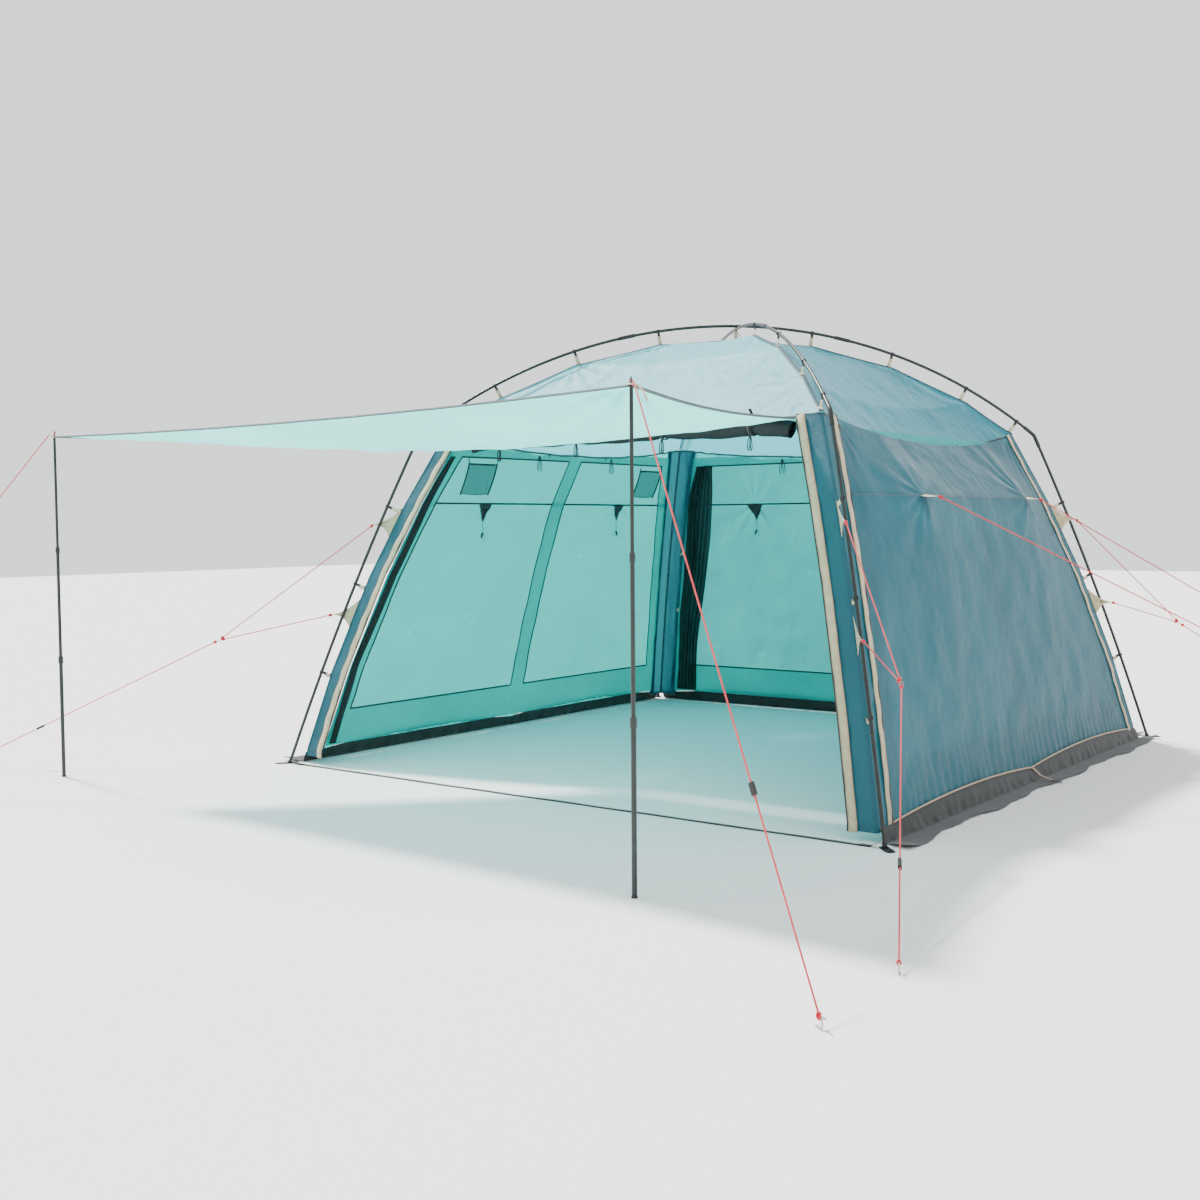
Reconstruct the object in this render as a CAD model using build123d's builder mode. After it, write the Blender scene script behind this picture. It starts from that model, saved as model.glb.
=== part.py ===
"""Square screen-house shelter with crossed poles and its front panel raised as an awning.

Millimetres, +Z up. Every piece is modelled about the tent's centre, x to the right along the
front, y from the front to the back, and save() then shifts it into the row's frame, whose
origin is the centre of the whole object's footprint (guy lines left out).
"""

import os
from math import asin, cos, degrees, radians, sin, sqrt

from build123d import *

# ---- Where the tent's centre stands in the row's frame ----
TENT = Location((285, 520, 0))

# ---- Frame of poles ----
FOOT_HALF = 1750.0  # half the distance between the feet along a side
ELBOW_HALF = 1240.0  # the same at the shoulder elbows
ELBOW_Z = 1768.0
LEG_BOW = 26.0  # how far a leg stands out from its straight chord
APEX_UPPER = 2370.0  # centreline of the pole that passes over
APEX_LOWER = 2353.0  # and of the one that passes under
POLE_R = 8.0
POLE_BORE = 6.0
SLEEVE_R = 10.5
SLEEVE_BORE = 8.4
SLEEVE_HALF = 45.0  # half the length of a joint sleeve
ELBOW_ARM = 75.0
ELBOW_GAP = 34.0  # from the elbow's corner to the end of each tube in it
FOOT_GAP = 22.0  # height of a leg's lower end
SHOCK_CORD_R = 1.6
SECTIONS = 3  # sections in each roof pole

# ---- Fabric shell ----
CLOTH = 2.5
TIP_HALF = 1150.0  # half side of the roof's lower edge
ROOF_APEX = 2295.0
ROOF_TIP_Z = 1772.0
ROOF_HALVES = (1150.0, 990.0, 800.0, 560.0, 300.0, 45.0)
WALL_PROFILE = ((1150.0, 1768.0), (1302.0, 1400.0), (1445.0, 1000.0), (1590.0, 500.0), (1690.0, 70.0))
CORNER_PANEL = 130.0
TAPE_WIDTH = 40.0
TAPE_INWARD = 22.0  # from the seam to the tape's middle, over the corner panel
TAPE_THICK = 1.2
TAB_REACH = 650.0  # guy points on a wall, each side of its middle
TAB_Z = 1400.0
RIGHT_BULGE = (2.0, 118.0, 72.0, 28.0, 2.0)  # the guyed wall is drawn out level by level
FLAT_BULGE = (2.0, 8.0, 6.0, 3.0, 2.0)
MESH_THICK = 1.0
MESH_LEVELS = ((1195.0, 1660.0), (1302.0, 1400.0), (1445.0, 1000.0), (1590.0, 500.0), (1646.0, 260.0))
MESH_INSET = 9.0
CENTRE_STRIP = 105.0  # half width of the strip between two mesh windows
SKIRT_RISE = 66.0
SKIRT_REACH = 160.0
STRAP_WIDTH = 25.0
ROLL_DROP = 52.0  # the rolled door's middle, below the tips of the roof
ROLL_INSIDE = 62.0  # and this far behind the front eave

# ---- Awning ----
HINGE_Y = -1165.0
AWNING_Z = 1742.0
AWNING_BACK_HALF = 1040.0
AWNING_RIGHT = (1375.0, -2910.0)
AWNING_LEFT = (-2400.0, -2690.0)
EYELET_R = 7.0
EYELET_EDGE = 16.0  # cloth left outside an eyelet's centre, each way
GUY_OFFSET = 24.0  # how far from a pole's spike its line starts
POLE_SECTION = 620.0
POLE_OVERLAP = 60.0
UPPER_R, MIDDLE_R, LOWER_R = 6.6, 8.0, 9.4
AWNING_WALL = 1.1  # tube wall of the middle and lower sections
SPIKE_R = 2.6

# ---- Guy lines ----
LINE_R = 2.75
RING_HALF = {"front_left": 2005.0, "front_right": 1900.0, "back_right": 1880.0, "back_left": 1900.0}
RING_Z = 672.0
RING_R = 9.0
BRANCH_CLEAR = 13.0  # from a ring's centre to the end of a branch
MAIN_CLEAR = 11.0  # and to the start of the line below it
TAB_LEVELS = (1285.0, 800.0)
TAB_HALF = 75.0  # half the height of a corner tab
PEG_TOP = 24.0  # height at which a line leaves its peg
PEG_R = 3.0
PEG_FOOT = 24.0  # length of the foot that lies on the ground
PEG_HOOK = 16.0
PEG_BEND = 6.0
PEGS = {
    "front_left": (-3050.0, -2870.0),
    "front_right": (2460.0, -3140.0),
    "back_right": (2760.0, 2230.0),
    "back_left": (-2350.0, 2200.0),
    "wall_front": (3290.0, 1860.0),
    "wall_back": (3300.0, 2230.0),
    "awning_right": (2490.0, -3660.0),
    "awning_left": (-3400.0, -3660.0),
}
CORNERS = {"back_right": 45.0, "back_left": 135.0, "front_left": 225.0, "front_right": 315.0}
WALLS = {"right": 0.0, "back": 90.0, "left": 180.0}
ROOT2 = sqrt(2)


# ---- Geometry shared by the pieces ----
def turned(angle, across=0.0):
    """Upright plane through the centre: local x runs out at this angle, local y is up."""
    out = Vector(cos(radians(angle)), sin(radians(angle)), 0)
    side = Vector(sin(radians(angle)), -cos(radians(angle)), 0)
    return Plane(origin=side * across, x_dir=out, z_dir=side)


def level(angle, height):
    """Flat plane at a height: local x runs out at this angle, local y along the wall."""
    out = (cos(radians(angle)), sin(radians(angle)), 0)
    return Plane(origin=(0, 0, height), x_dir=out, z_dir=(0, 0, 1))


def leg_arc(plane, bottom=FOOT_GAP, short=0.0):
    """Centreline of a leg, from its foot up to the elbow, bowed a little outwards."""
    foot = Vector(FOOT_HALF * ROOT2, 0)
    top = Vector(ELBOW_HALF * ROOT2, ELBOW_Z)
    along = (top - foot).normalized()
    out = Vector(along.Y, -along.X)
    middle = (foot + top) / 2 + out * LEG_BOW
    with BuildLine(plane) as whole:
        ThreePointArc((foot.X, foot.Y), (middle.X, middle.Y), (top.X, top.Y))
    arc = whole.edge()
    return arc.trim(bottom / arc.length, 1 - short / arc.length)


def roof_radius(apex):
    """Radius of the roof arc that falls from the apex to the elbow height."""
    run = ELBOW_HALF * ROOT2
    drop = apex - ELBOW_Z
    return (run * run + drop * drop) / (2 * drop)


def roof_point(plane, apex, half):
    """Point of a roof pole's centreline over the place x = y = half."""
    radius = roof_radius(apex)
    return plane.from_local_coords(
        Vector(half * ROOT2, apex - radius + sqrt(radius * radius - 2 * half * half), 0)
    )


def roof_arc(plane, apex, start, size):
    """Part of a roof pole's centreline, by angle about the centre of its arc."""
    radius = roof_radius(apex)
    with BuildLine(plane) as path:
        CenterArc((0, apex - radius), radius, start, size)
    return path.edge()


def tube(path, outer, bore):
    """Tube along a path."""
    with BuildPart() as piece:
        with BuildSketch(Plane(origin=path @ 0, z_dir=path % 0)):
            Circle(outer)
            if bore:
                Circle(bore, mode=Mode.SUBTRACT)
        sweep(path=path)
    return piece.part


def rod(start, end, radius, bore=0.0):
    """Straight bar or tube between two points."""
    start, end = Vector(start), Vector(end)
    with BuildPart() as piece:
        with BuildSketch(Plane(origin=start, z_dir=end - start)):
            Circle(radius)
            if bore:
                Circle(bore, mode=Mode.SUBTRACT)
        extrude(amount=(end - start).length)
    return piece.part


def group(pieces):
    """Separate solids that share one node."""
    solids = [solid for piece in pieces for solid in piece.solids()]
    return Compound(children=solids)


def save(piece, name):
    """Shift a finished piece into the row's frame, label it and write it."""
    placed = piece.moved(TENT)
    placed.label = name
    export_step(placed, f"parts/{name}.step")


def profile_half(height):
    """Half side of the fabric shell at a height."""
    for (low_half, low), (high_half, high) in zip(WALL_PROFILE[1:], WALL_PROFILE):
        if height >= low:
            share = (height - low) / (high - low)
            return low_half + share * (high_half - low_half)
    return WALL_PROFILE[-1][0]


# ---- Poles ----
def leg_pole(name):
    save(tube(leg_arc(turned(CORNERS[name]), short=ELBOW_GAP), POLE_R, POLE_BORE), f"leg_pole_{name}")


def roof_pole(name, angle, apex):
    """Three arched sections end to end, with a shock cord through them."""
    plane = turned(angle)
    half_angle = degrees(asin(ELBOW_HALF * ROOT2 / roof_radius(apex)))
    margin = degrees(ELBOW_GAP / roof_radius(apex))
    first = 90 - half_angle + margin
    step = 2 * (half_angle - margin) / SECTIONS
    gap = degrees(0.6 / roof_radius(apex))
    sections = []
    sleeves = []
    for index in range(SECTIONS):
        arc = roof_arc(plane, apex, first + index * step + gap, step - 2 * gap)
        sections.append(tube(arc, POLE_R, POLE_BORE))
    for index in range(1, SECTIONS):
        joint = roof_arc(plane, apex, first + index * step - 0.01, 0.02)
        along = (joint % 0.5) * SLEEVE_HALF
        sleeves.append(rod((joint @ 0.5) - along, (joint @ 0.5) + along, SLEEVE_R, SLEEVE_BORE))
    cord = tube(roof_arc(plane, apex, first, 2 * (half_angle - margin)), SHOCK_CORD_R, 0)
    save(group(sections), name)
    return sleeves, cord


def elbow(angle, apex):
    """Bent sleeve that holds the top of a leg and the end of a roof pole."""
    plane = turned(angle)
    leg = leg_arc(plane)
    roof_half = ELBOW_HALF - ELBOW_ARM * 0.795 / ROOT2
    points = (leg @ (1 - ELBOW_ARM / leg.length), leg @ 1, roof_point(plane, apex, roof_half))
    ends = [plane.to_local_coords(point) for point in points]
    with BuildLine(plane) as path:
        Polyline([(point.X, point.Y) for point in ends])
        fillet(path.vertices().sort_by(Axis.Z)[1], radius=55)
    return tube(path.line, SLEEVE_R, SLEEVE_BORE)


def corner_foot(angle):
    """Plate with a peg hole, and a pin that stands up into the leg."""
    plane = turned(angle)
    leg = leg_arc(plane)
    foot = leg @ 0
    with BuildPart() as base:
        with BuildSketch(level(angle, 0)):
            with Locations((FOOT_HALF * ROOT2 + 24, 0)):
                SlotOverall(110, 40)
            with Locations((FOOT_HALF * ROOT2 + 58, 0)):
                Circle(6.5, mode=Mode.SUBTRACT)
        extrude(amount=3)
        add(rod(foot - (leg % 0) * 14, foot - (leg % 0) * 0.6, 10.5))
        add(rod(foot - (leg % 0) * 14, foot + (leg % 0) * 55, 5.5))
        with BuildSketch(level(angle, 2)):
            with Locations((FOOT_HALF * ROOT2, 0)):
                Circle(12)
        extrude(amount=7)
    return base.part


# ---- Clips between poles and fabric ----
def clip(point, along, inward):
    """Hook that snaps over a pole, with an eye for its webbing."""
    with BuildPart() as piece:
        with BuildSketch(Plane(origin=point - along * 7, x_dir=inward, z_dir=along)):
            Circle(12)
            with Locations((17, 0)):
                Rectangle(16, 9)
            Circle(SLEEVE_BORE, mode=Mode.SUBTRACT)
            with Locations((-14, 0)):
                Rectangle(16, 10, mode=Mode.SUBTRACT)
        extrude(amount=14)
    return piece.part


def clip_webbing(point, along, inward, reach):
    """Webbing from a clip's eye to the fabric."""
    with BuildPart() as piece:
        with BuildSketch(Plane(origin=point - along * 10, x_dir=inward, z_dir=along)):
            with Locations(((26 + reach) / 2, 0)):
                Rectangle(reach - 26, 1.6)
        extrude(amount=20)
    return piece.part


def leg_clips(angle):
    plane = turned(angle)
    leg = leg_arc(plane)
    pieces = []
    for share in (0.265, 0.535, 0.775):
        point = leg @ share
        along = leg % share
        inward = along.cross(plane.z_dir)
        inward = inward if inward.dot(plane.x_dir) < 0 else -inward
        fabric = profile_half(point.Z) * ROOT2
        reach = (Vector(point.X, point.Y, 0).length - fabric) * 0.9 - 4
        pieces.append((clip(point, along, inward), clip_webbing(point, along, inward, reach)))
    return pieces


def roof_clips(angle, apex):
    plane = turned(angle)
    centre = Vector(0, 0, apex - roof_radius(apex))
    pieces = []
    for half in (310.0, 640.0, 950.0, 1165.0):
        point = roof_point(plane, apex, half)
        inward = (centre - point).normalized()
        along = inward.cross(plane.z_dir).normalized()
        reach = 50.0 if apex == APEX_LOWER else 56.0
        pieces.append((clip(point, along, inward), clip_webbing(point, along, inward, reach)))
    return pieces


def apex_tie():
    """Short strap from the crossing of the poles to the top of the roof."""
    with BuildPart() as piece:
        with BuildSketch(Plane.XY.offset(ROOF_APEX + 2)):
            Rectangle(26, 3)
        extrude(amount=APEX_LOWER - POLE_R - ROOF_APEX - 4)
    return piece.part


# ---- Fabric shell ----
def roof_height(half):
    """Height of the roof's ridge over x = y = half, on an arc from apex to tip."""
    run = TIP_HALF * ROOT2
    drop = ROOF_APEX - ROOF_TIP_Z
    radius = (run * run + drop * drop) / (2 * drop)
    return ROOF_APEX - radius + sqrt(radius * radius - 2 * half * half)


def roof_canopy():
    """Hipped roof, one cloth thick and open below."""
    with BuildPart() as piece:
        for half in ROOF_HALVES:
            with BuildSketch(Plane.XY.offset(roof_height(half))):
                Rectangle(2 * half, 2 * half)
        loft(ruled=True)
        with BuildPart(mode=Mode.PRIVATE) as inside:
            for half in ROOF_HALVES:
                with BuildSketch(Plane.XY.offset(roof_height(half) - CLOTH * 1.2)):
                    Rectangle(2 * half, 2 * half)
            loft(ruled=True)
        add(inside.part, mode=Mode.SUBTRACT)
    return piece.part


def wall(angle, bulge):
    """Wall panel between two corner panels, leaning in towards the eave."""
    with BuildPart() as piece:
        for (half, height), out in zip(WALL_PROFILE, bulge):
            edge = half - CORNER_PANEL - 4
            reach = min(TAB_REACH, edge * 0.6)
            with BuildSketch(level(angle, height)):
                Polygon(
                    (half, -edge), (half + out, -reach), (half + out, reach), (half, edge),
                    (half - CLOTH, edge), (half + out - CLOTH, reach),
                    (half + out - CLOTH, -reach), (half - CLOTH, -edge), align=None,
                )
        loft(ruled=True)
    return piece.part


def corner_panel(angle):
    """L-shaped strip of fabric that follows a corner from the ground to the roof."""
    with BuildPart() as piece:
        for half, height in WALL_PROFILE:
            arm = half - CORNER_PANEL
            inner = half - CLOTH
            with BuildSketch(level(angle - 45, height)):
                Polygon(
                    (half, half), (arm, half), (arm, inner),
                    (inner, inner), (inner, arm), (half, arm), align=None,
                )
        loft(ruled=True)
    return piece.part


def zip_tape(angle, side):
    """Zip tape, on the outside of a corner panel along its seam with the wall."""
    with BuildPart() as piece:
        for half, height in WALL_PROFILE:
            middle = side * (half - CORNER_PANEL + TAPE_INWARD)
            with BuildSketch(level(angle, height)):
                with Locations((half + 0.6 + TAPE_THICK / 2, middle)):
                    Rectangle(TAPE_THICK, TAPE_WIDTH)
        loft(ruled=True)
    return piece.part


def mesh_window(angle, side):
    """Mosquito mesh window just inside a wall."""
    with BuildPart() as piece:
        for half, height in MESH_LEVELS:
            near = CENTRE_STRIP
            far = half - CORNER_PANEL - 30
            with BuildSketch(level(angle, height)):
                with Locations((half - MESH_INSET, side * (near + far) / 2)):
                    Rectangle(MESH_THICK, far - near)
        loft(ruled=True)
    return piece.part


def mud_skirt(angle):
    """Band round the foot of a wall and the flap that lies on the ground outside it."""
    inner = WALL_PROFILE[-1][0] + 3
    with BuildPart() as piece:
        with BuildSketch(turned(angle)):
            Polygon(
                (inner, 0), (inner + SKIRT_REACH, 0), (inner + SKIRT_REACH, CLOTH),
                (inner + CLOTH, CLOTH), (inner + CLOTH, SKIRT_RISE), (inner, SKIRT_RISE), align=None,
            )
        extrude(amount=inner - 4, both=True)
    return piece.part


def front_strap():
    """Webbing on the ground that keeps the two front feet apart."""
    with BuildPart() as piece:
        with BuildSketch():
            with Locations((0, -FOOT_HALF)):
                Rectangle(2 * FOOT_HALF - 120, STRAP_WIDTH)
        extrude(amount=2)
    return piece.part


# ---- Things hung inside ----
def rolled_door():
    """Mesh door rolled up under the front eave."""
    with BuildPart() as piece:
        with BuildSketch(Plane.YZ.offset(-AWNING_BACK_HALF + 20)):
            with Locations((-TIP_HALF + ROLL_INSIDE, ROOF_TIP_Z - ROLL_DROP)):
                Ellipse(42, 46)
        extrude(amount=2 * AWNING_BACK_HALF - 40)
    return piece.part


def roll_tie(x):
    """Strap round the rolled door."""
    with BuildPart() as piece:
        with BuildSketch(Plane.YZ.offset(x)):
            with Locations((-TIP_HALF + ROLL_INSIDE, ROOF_TIP_Z - ROLL_DROP)):
                Ellipse(45, 49)
                Ellipse(42.6, 46.6, mode=Mode.SUBTRACT)
        extrude(amount=20)
    return piece.part


def mesh_pocket(y):
    """Flat pocket hung from the top band of the left wall."""
    with BuildPart() as piece:
        with BuildSketch(Plane(origin=(-1180, y, 1525), x_dir=(0, 1, 0), z_dir=(-0.94, 0, 0.34))):
            Rectangle(270, 165)
        extrude(amount=6)
    return piece.part


def inner_tab(angle, side):
    """Triangle sewn inside a wall behind a guy point."""
    wall_plane = level(angle, 0)
    middle = wall_plane.from_local_coords(Vector(profile_half(TAB_Z) - 14, side * TAB_REACH, TAB_Z))
    with BuildPart() as piece:
        with BuildSketch(Plane(origin=middle, x_dir=wall_plane.y_dir, z_dir=wall_plane.x_dir)):
            Polygon((-55, 0), (55, 0), (0, -105), align=None)
        extrude(amount=-1.6)
    return piece.part


def toggle(angle, side):
    """Little barrel that hangs below an inner tab."""
    out = level(angle, 0)
    middle = out.from_local_coords(Vector(profile_half(TAB_Z) - 22, side * TAB_REACH, TAB_Z - 135))
    return rod(middle - Vector(0, 0, 12), middle + Vector(0, 0, 12), 5)


def gathered_mesh(angle, start, width, depth):
    """Mesh curtain drawn together beside a zip."""
    with BuildPart() as piece:
        for half, height in MESH_LEVELS:
            edge = half - CORNER_PANEL - start
            with BuildSketch(level(angle, height)):
                with Locations((half - MESH_INSET - 4 - depth / 2, edge - width / 2)):
                    Rectangle(depth, width)
        loft(ruled=True)
    return piece.part


# ---- Guy lines ----
def corner_tab(angle, height):
    """Triangle of cloth on a corner seam that takes one branch of a guy line."""
    above, below = (profile_half(height + rise) * ROOT2 for rise in (TAB_HALF, -TAB_HALF))
    tip = tab_tip(angle, height)
    outer = Vector(tip.X, tip.Y, 0).length
    with BuildPart() as piece:
        with BuildSketch(turned(angle, 12.0)):
            Polygon(
                (above - 9, height + TAB_HALF), (below - 9, height - TAB_HALF), (outer, height), align=None
            )
        extrude(amount=1.6)
    return piece.part


def tab_tip(angle, height):
    """Where a branch of a corner guy line leaves its tab."""
    reach = (profile_half(height) + 74) * ROOT2
    return turned(angle, 12.8).from_local_coords(Vector(reach, height, 0))


def branch_start(angle, height):
    """Start of the branch, just clear of the tab's tip."""
    return tab_tip(angle, height) + turned(angle).x_dir * 2


def wall_tab(angle, side):
    """Triangle on a wall's seam that takes a guy line."""
    bulge = RIGHT_BULGE[1] if angle == WALLS["right"] else FLAT_BULGE[1]
    start = profile_half(TAB_Z) + bulge + 8
    with BuildPart() as piece:
        with BuildSketch(turned(angle, side * TAB_REACH)):
            Polygon((start, TAB_Z + 12), (start, TAB_Z - 16), (start + 54, TAB_Z - 6), align=None)
        extrude(amount=1.6)
    return piece.part


def guy_ring(centre, along):
    """Small ring that joins the branches of a guy line."""
    with BuildPart() as piece:
        with BuildSketch(Plane(origin=centre, z_dir=along)):
            Circle(RING_R)
            Circle(RING_R - 3, mode=Mode.SUBTRACT)
        extrude(amount=1.5, both=True)
    return piece.part


def peg(foot, towards):
    """Hook of a round-bar ground peg. The rest of the peg is in the ground, so only a foot stands for it."""
    away = (Vector(foot) - Vector(towards))
    away = Vector(away.X, away.Y, 0).normalized()
    base = Vector(foot.X, foot.Y, PEG_R + 0.2)
    top = PEG_TOP + 8
    bend = PEG_BEND
    cut = PEG_BEND * (1 - 1 / ROOT2)  # how far the middle of a bend stands in from its corner
    with BuildLine(Plane(origin=base, x_dir=away, z_dir=away.cross(Vector(0, 0, 1)))) as path:
        Line((-PEG_FOOT, 0), (8 - bend, 0))
        ThreePointArc((8 - bend, 0), (8 - cut, cut), (8, bend))
        Line((8, bend), (8, top - bend))
        ThreePointArc((8, top - bend), (8 + cut, top - cut), (8 + bend, top))
        Line((8 + bend, top), (8 + PEG_HOOK, top))
    return tube(path.wires()[0], PEG_R, 0)


def ring_side(ring, angle, height):
    """Where a branch meets its ring."""
    start = branch_start(angle, height)
    return ring + (start - ring).normalized() * BRANCH_CLEAR


def slider(centre, along):
    """Tensioner that the line runs through."""
    with BuildPart() as piece:
        with BuildSketch(Plane(origin=centre - along * 19, z_dir=along)):
            SlotOverall(20, 12)
            Circle(LINE_R + 0.6, mode=Mode.SUBTRACT)
        extrude(amount=38)
    return piece.part


def peg_point(name):
    x, y = PEGS[name]
    return Vector(x, y, PEG_TOP)


def slider_place(start, end, share=0.3):
    """Centre and direction of a slider, this share of the way up from the peg."""
    return end + (start - end) * share, (start - end).normalized()


def report_line(name, run, along):
    """Length and direction of a line. Each is pulled straight, so it has no bend radius."""
    axis = tuple(round(value, 5) for value in along)
    print("guy", name, "straight, length", round(run.length), "slider axis", axis)


def corner_guy(name):
    """Two branches, a ring and the line down to its peg."""
    angle = CORNERS[name]
    ring = turned(angle, 12.8).from_local_coords(Vector(RING_HALF[name] * ROOT2, RING_Z, 0))
    end = peg_point(name)
    branches = []
    for height in TAB_LEVELS:
        branches.append(rod(branch_start(angle, height), ring_side(ring, angle, height), LINE_R))
    main = rod(ring + (end - ring).normalized() * MAIN_CLEAR, end, LINE_R)
    centre, along = slider_place(ring, end)
    report_line(name, end - ring, along)
    save(group(branches + [main]), f"guy_line_{name}")
    save(slider(centre, along), f"guy_slider_{name}")
    return guy_ring(ring, (end - ring).normalized()), peg(end, ring)


def single_guy(name, start):
    """One straight line from a tab or a pole top to its peg."""
    end = peg_point(name)
    centre, along = slider_place(start, end)
    report_line(name, end - start, along)
    save(rod(start, end, LINE_R), f"guy_line_{name}")
    save(slider(centre, along), f"guy_slider_{name}")
    return peg(end, start)


# ---- Awning ----
def spike_side(place, name):
    """Where an awning guy line starts, beside the pole's spike and over the cloth's corner."""
    top = Vector(*place, AWNING_Z + 12)
    away = peg_point(name) - top
    return top + Vector(away.X, away.Y, 0).normalized() * GUY_OFFSET


def awning_sheet():
    """Front panel raised on two poles, with an eyelet at each outer corner."""
    right, left = Vector(*AWNING_RIGHT), Vector(*AWNING_LEFT)
    with BuildPart() as piece:
        with BuildSketch(Plane.XY.offset(AWNING_Z - CLOTH / 2)):
            Polygon(
                (-AWNING_BACK_HALF, HINGE_Y), (left.X - EYELET_EDGE, left.Y - EYELET_EDGE),
                (right.X + EYELET_EDGE, right.Y - EYELET_EDGE), (AWNING_BACK_HALF, HINGE_Y), align=None,
            )
            with Locations(AWNING_RIGHT, AWNING_LEFT):
                Circle(EYELET_R, mode=Mode.SUBTRACT)
        extrude(amount=CLOTH)
    return piece.part


def awning_corner(place):
    """Webbing patch with a ring hole, under a corner of the awning."""
    with BuildPart() as piece:
        with BuildSketch(Plane.XY.offset(AWNING_Z + CLOTH / 2 + 0.3)):
            with Locations(place):
                Rectangle(30, 30)
                Circle(EYELET_R, mode=Mode.SUBTRACT)
        extrude(amount=1.6)
    return piece.part


def awning_pole(side, place):
    """Telescopic pole: foot section, middle section and top section with its spike."""
    x, y = place
    low = Vector(x, y, 0)
    up = Vector(0, 0, 1)
    step = POLE_SECTION - POLE_OVERLAP
    top = AWNING_Z - 6.0
    with BuildPart() as lower:
        add(rod(low + up * 8, low + up * POLE_SECTION, LOWER_R, LOWER_R - AWNING_WALL))
        add(rod(low, low + up * 8, LOWER_R + 2))
        collar = low + up * (POLE_SECTION - 34)
        add(rod(collar, low + up * POLE_SECTION, LOWER_R + 2.6, LOWER_R - AWNING_WALL))
    with BuildPart() as middle:
        start = low + up * step
        add(rod(start, start + up * POLE_SECTION, MIDDLE_R, MIDDLE_R - AWNING_WALL))
        collar = start + up * (POLE_SECTION - 30)
        add(rod(collar, start + up * POLE_SECTION, MIDDLE_R + 2.4, MIDDLE_R - AWNING_WALL))
    with BuildPart() as upper:
        start = low + up * 2 * step
        add(rod(start, low + up * top, UPPER_R))
        add(rod(low + up * (top - 1), low + up * (top + 36), SPIKE_R))
    save(lower.part, f"awning_pole_{side}_lower")
    save(middle.part, f"awning_pole_{side}_middle")
    save(upper.part, f"awning_pole_{side}_upper")


def zip_slider(angle, side):
    """Zip slider with its pull tab, just below the eave."""
    (high_half, high), (low_half, low) = WALL_PROFILE[0], WALL_PROFILE[1]
    share = 0.16
    half = high_half + share * (low_half - high_half)
    height = high + share * (low - high)
    plane = level(angle, 0)
    edge = side * (half - CORNER_PANEL - 2)
    point = plane.from_local_coords(Vector(half + 4.6, edge, height))
    step = plane.from_local_coords(Vector(low_half + 3.2, side * (low_half - CORNER_PANEL - 2), low))
    start = plane.from_local_coords(Vector(high_half + 3.2, side * (high_half - CORNER_PANEL - 2), high))
    down = (step - start).normalized()
    out = plane.y_dir.cross(down) * -1
    out = out.normalized() if out.dot(plane.x_dir) > 0 else -out.normalized()
    with BuildPart() as piece:
        with BuildSketch(Plane(origin=point, x_dir=down, z_dir=out)):
            SlotOverall(16, 10)
        extrude(amount=4)
        with BuildSketch(Plane(origin=point + out * 4, x_dir=down, z_dir=out)):
            with Locations((17, 0)):
                SlotOverall(34, 6)
        extrude(amount=1.4)
    print("zip", angle, side, "down", tuple(round(value, 5) for value in down))
    return piece.part


# ---- Build ----
os.makedirs("parts", exist_ok=True)

for corner in CORNERS:
    leg_pole(corner)
upper_sleeves, upper_cord = roof_pole("roof_pole_over", CORNERS["back_right"], APEX_UPPER)
lower_sleeves, lower_cord = roof_pole("roof_pole_under", CORNERS["back_left"], APEX_LOWER)
save(group(upper_sleeves + lower_sleeves), "pole_sleeves")
save(group([upper_cord, lower_cord]), "shock_cords")

over = {"back_right", "front_left"}
apexes = {name: APEX_UPPER if name in over else APEX_LOWER for name in CORNERS}
save(group([elbow(CORNERS[name], apexes[name]) for name in CORNERS]), "shoulder_elbows")
save(group([corner_foot(angle) for angle in CORNERS.values()]), "corner_feet")

leg_pairs = [pair for angle in CORNERS.values() for pair in leg_clips(angle)]
roof_pairs = [pair for name in CORNERS for pair in roof_clips(CORNERS[name], apexes[name])]
save(group([pair[0] for pair in leg_pairs + roof_pairs]), "pole_clips")
save(group([pair[1] for pair in leg_pairs + roof_pairs] + [apex_tie()]), "clip_webbing")

save(roof_canopy(), "roof_canopy")
for side, angle in WALLS.items():
    save(wall(angle, RIGHT_BULGE if side == "right" else FLAT_BULGE), f"wall_{side}")
    save(mud_skirt(angle), f"mud_skirt_{side}")
save(group([mesh_window(angle, half) for angle in WALLS.values() for half in (-1, 1)]), "mesh_windows")
save(group([corner_panel(angle) for angle in CORNERS.values()]), "corner_panels")
save(group([zip_tape(angle, half) for angle in (0, 90, 180, 270) for half in (-1, 1)]), "zip_tapes")
save(front_strap(), "front_strap")

save(rolled_door(), "rolled_mesh_door")
save(group([roll_tie(x) for x in (-780, -260, 260, 760)]), "roll_ties")
save(group([mesh_pocket(y) for y in (-790, 860)]), "mesh_pockets")
tab_places = [(angle, half) for angle in WALLS.values() for half in (-1, 1)]
save(group([inner_tab(angle, half) for angle, half in tab_places]), "inner_tabs")
save(group([toggle(angle, half) for angle, half in tab_places]), "tab_toggles")
gathered = [gathered_mesh(WALLS["back"], 20, 185, 34), gathered_mesh(WALLS["left"], 8, 55, 16)]
save(group(gathered), "gathered_mesh")

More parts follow.
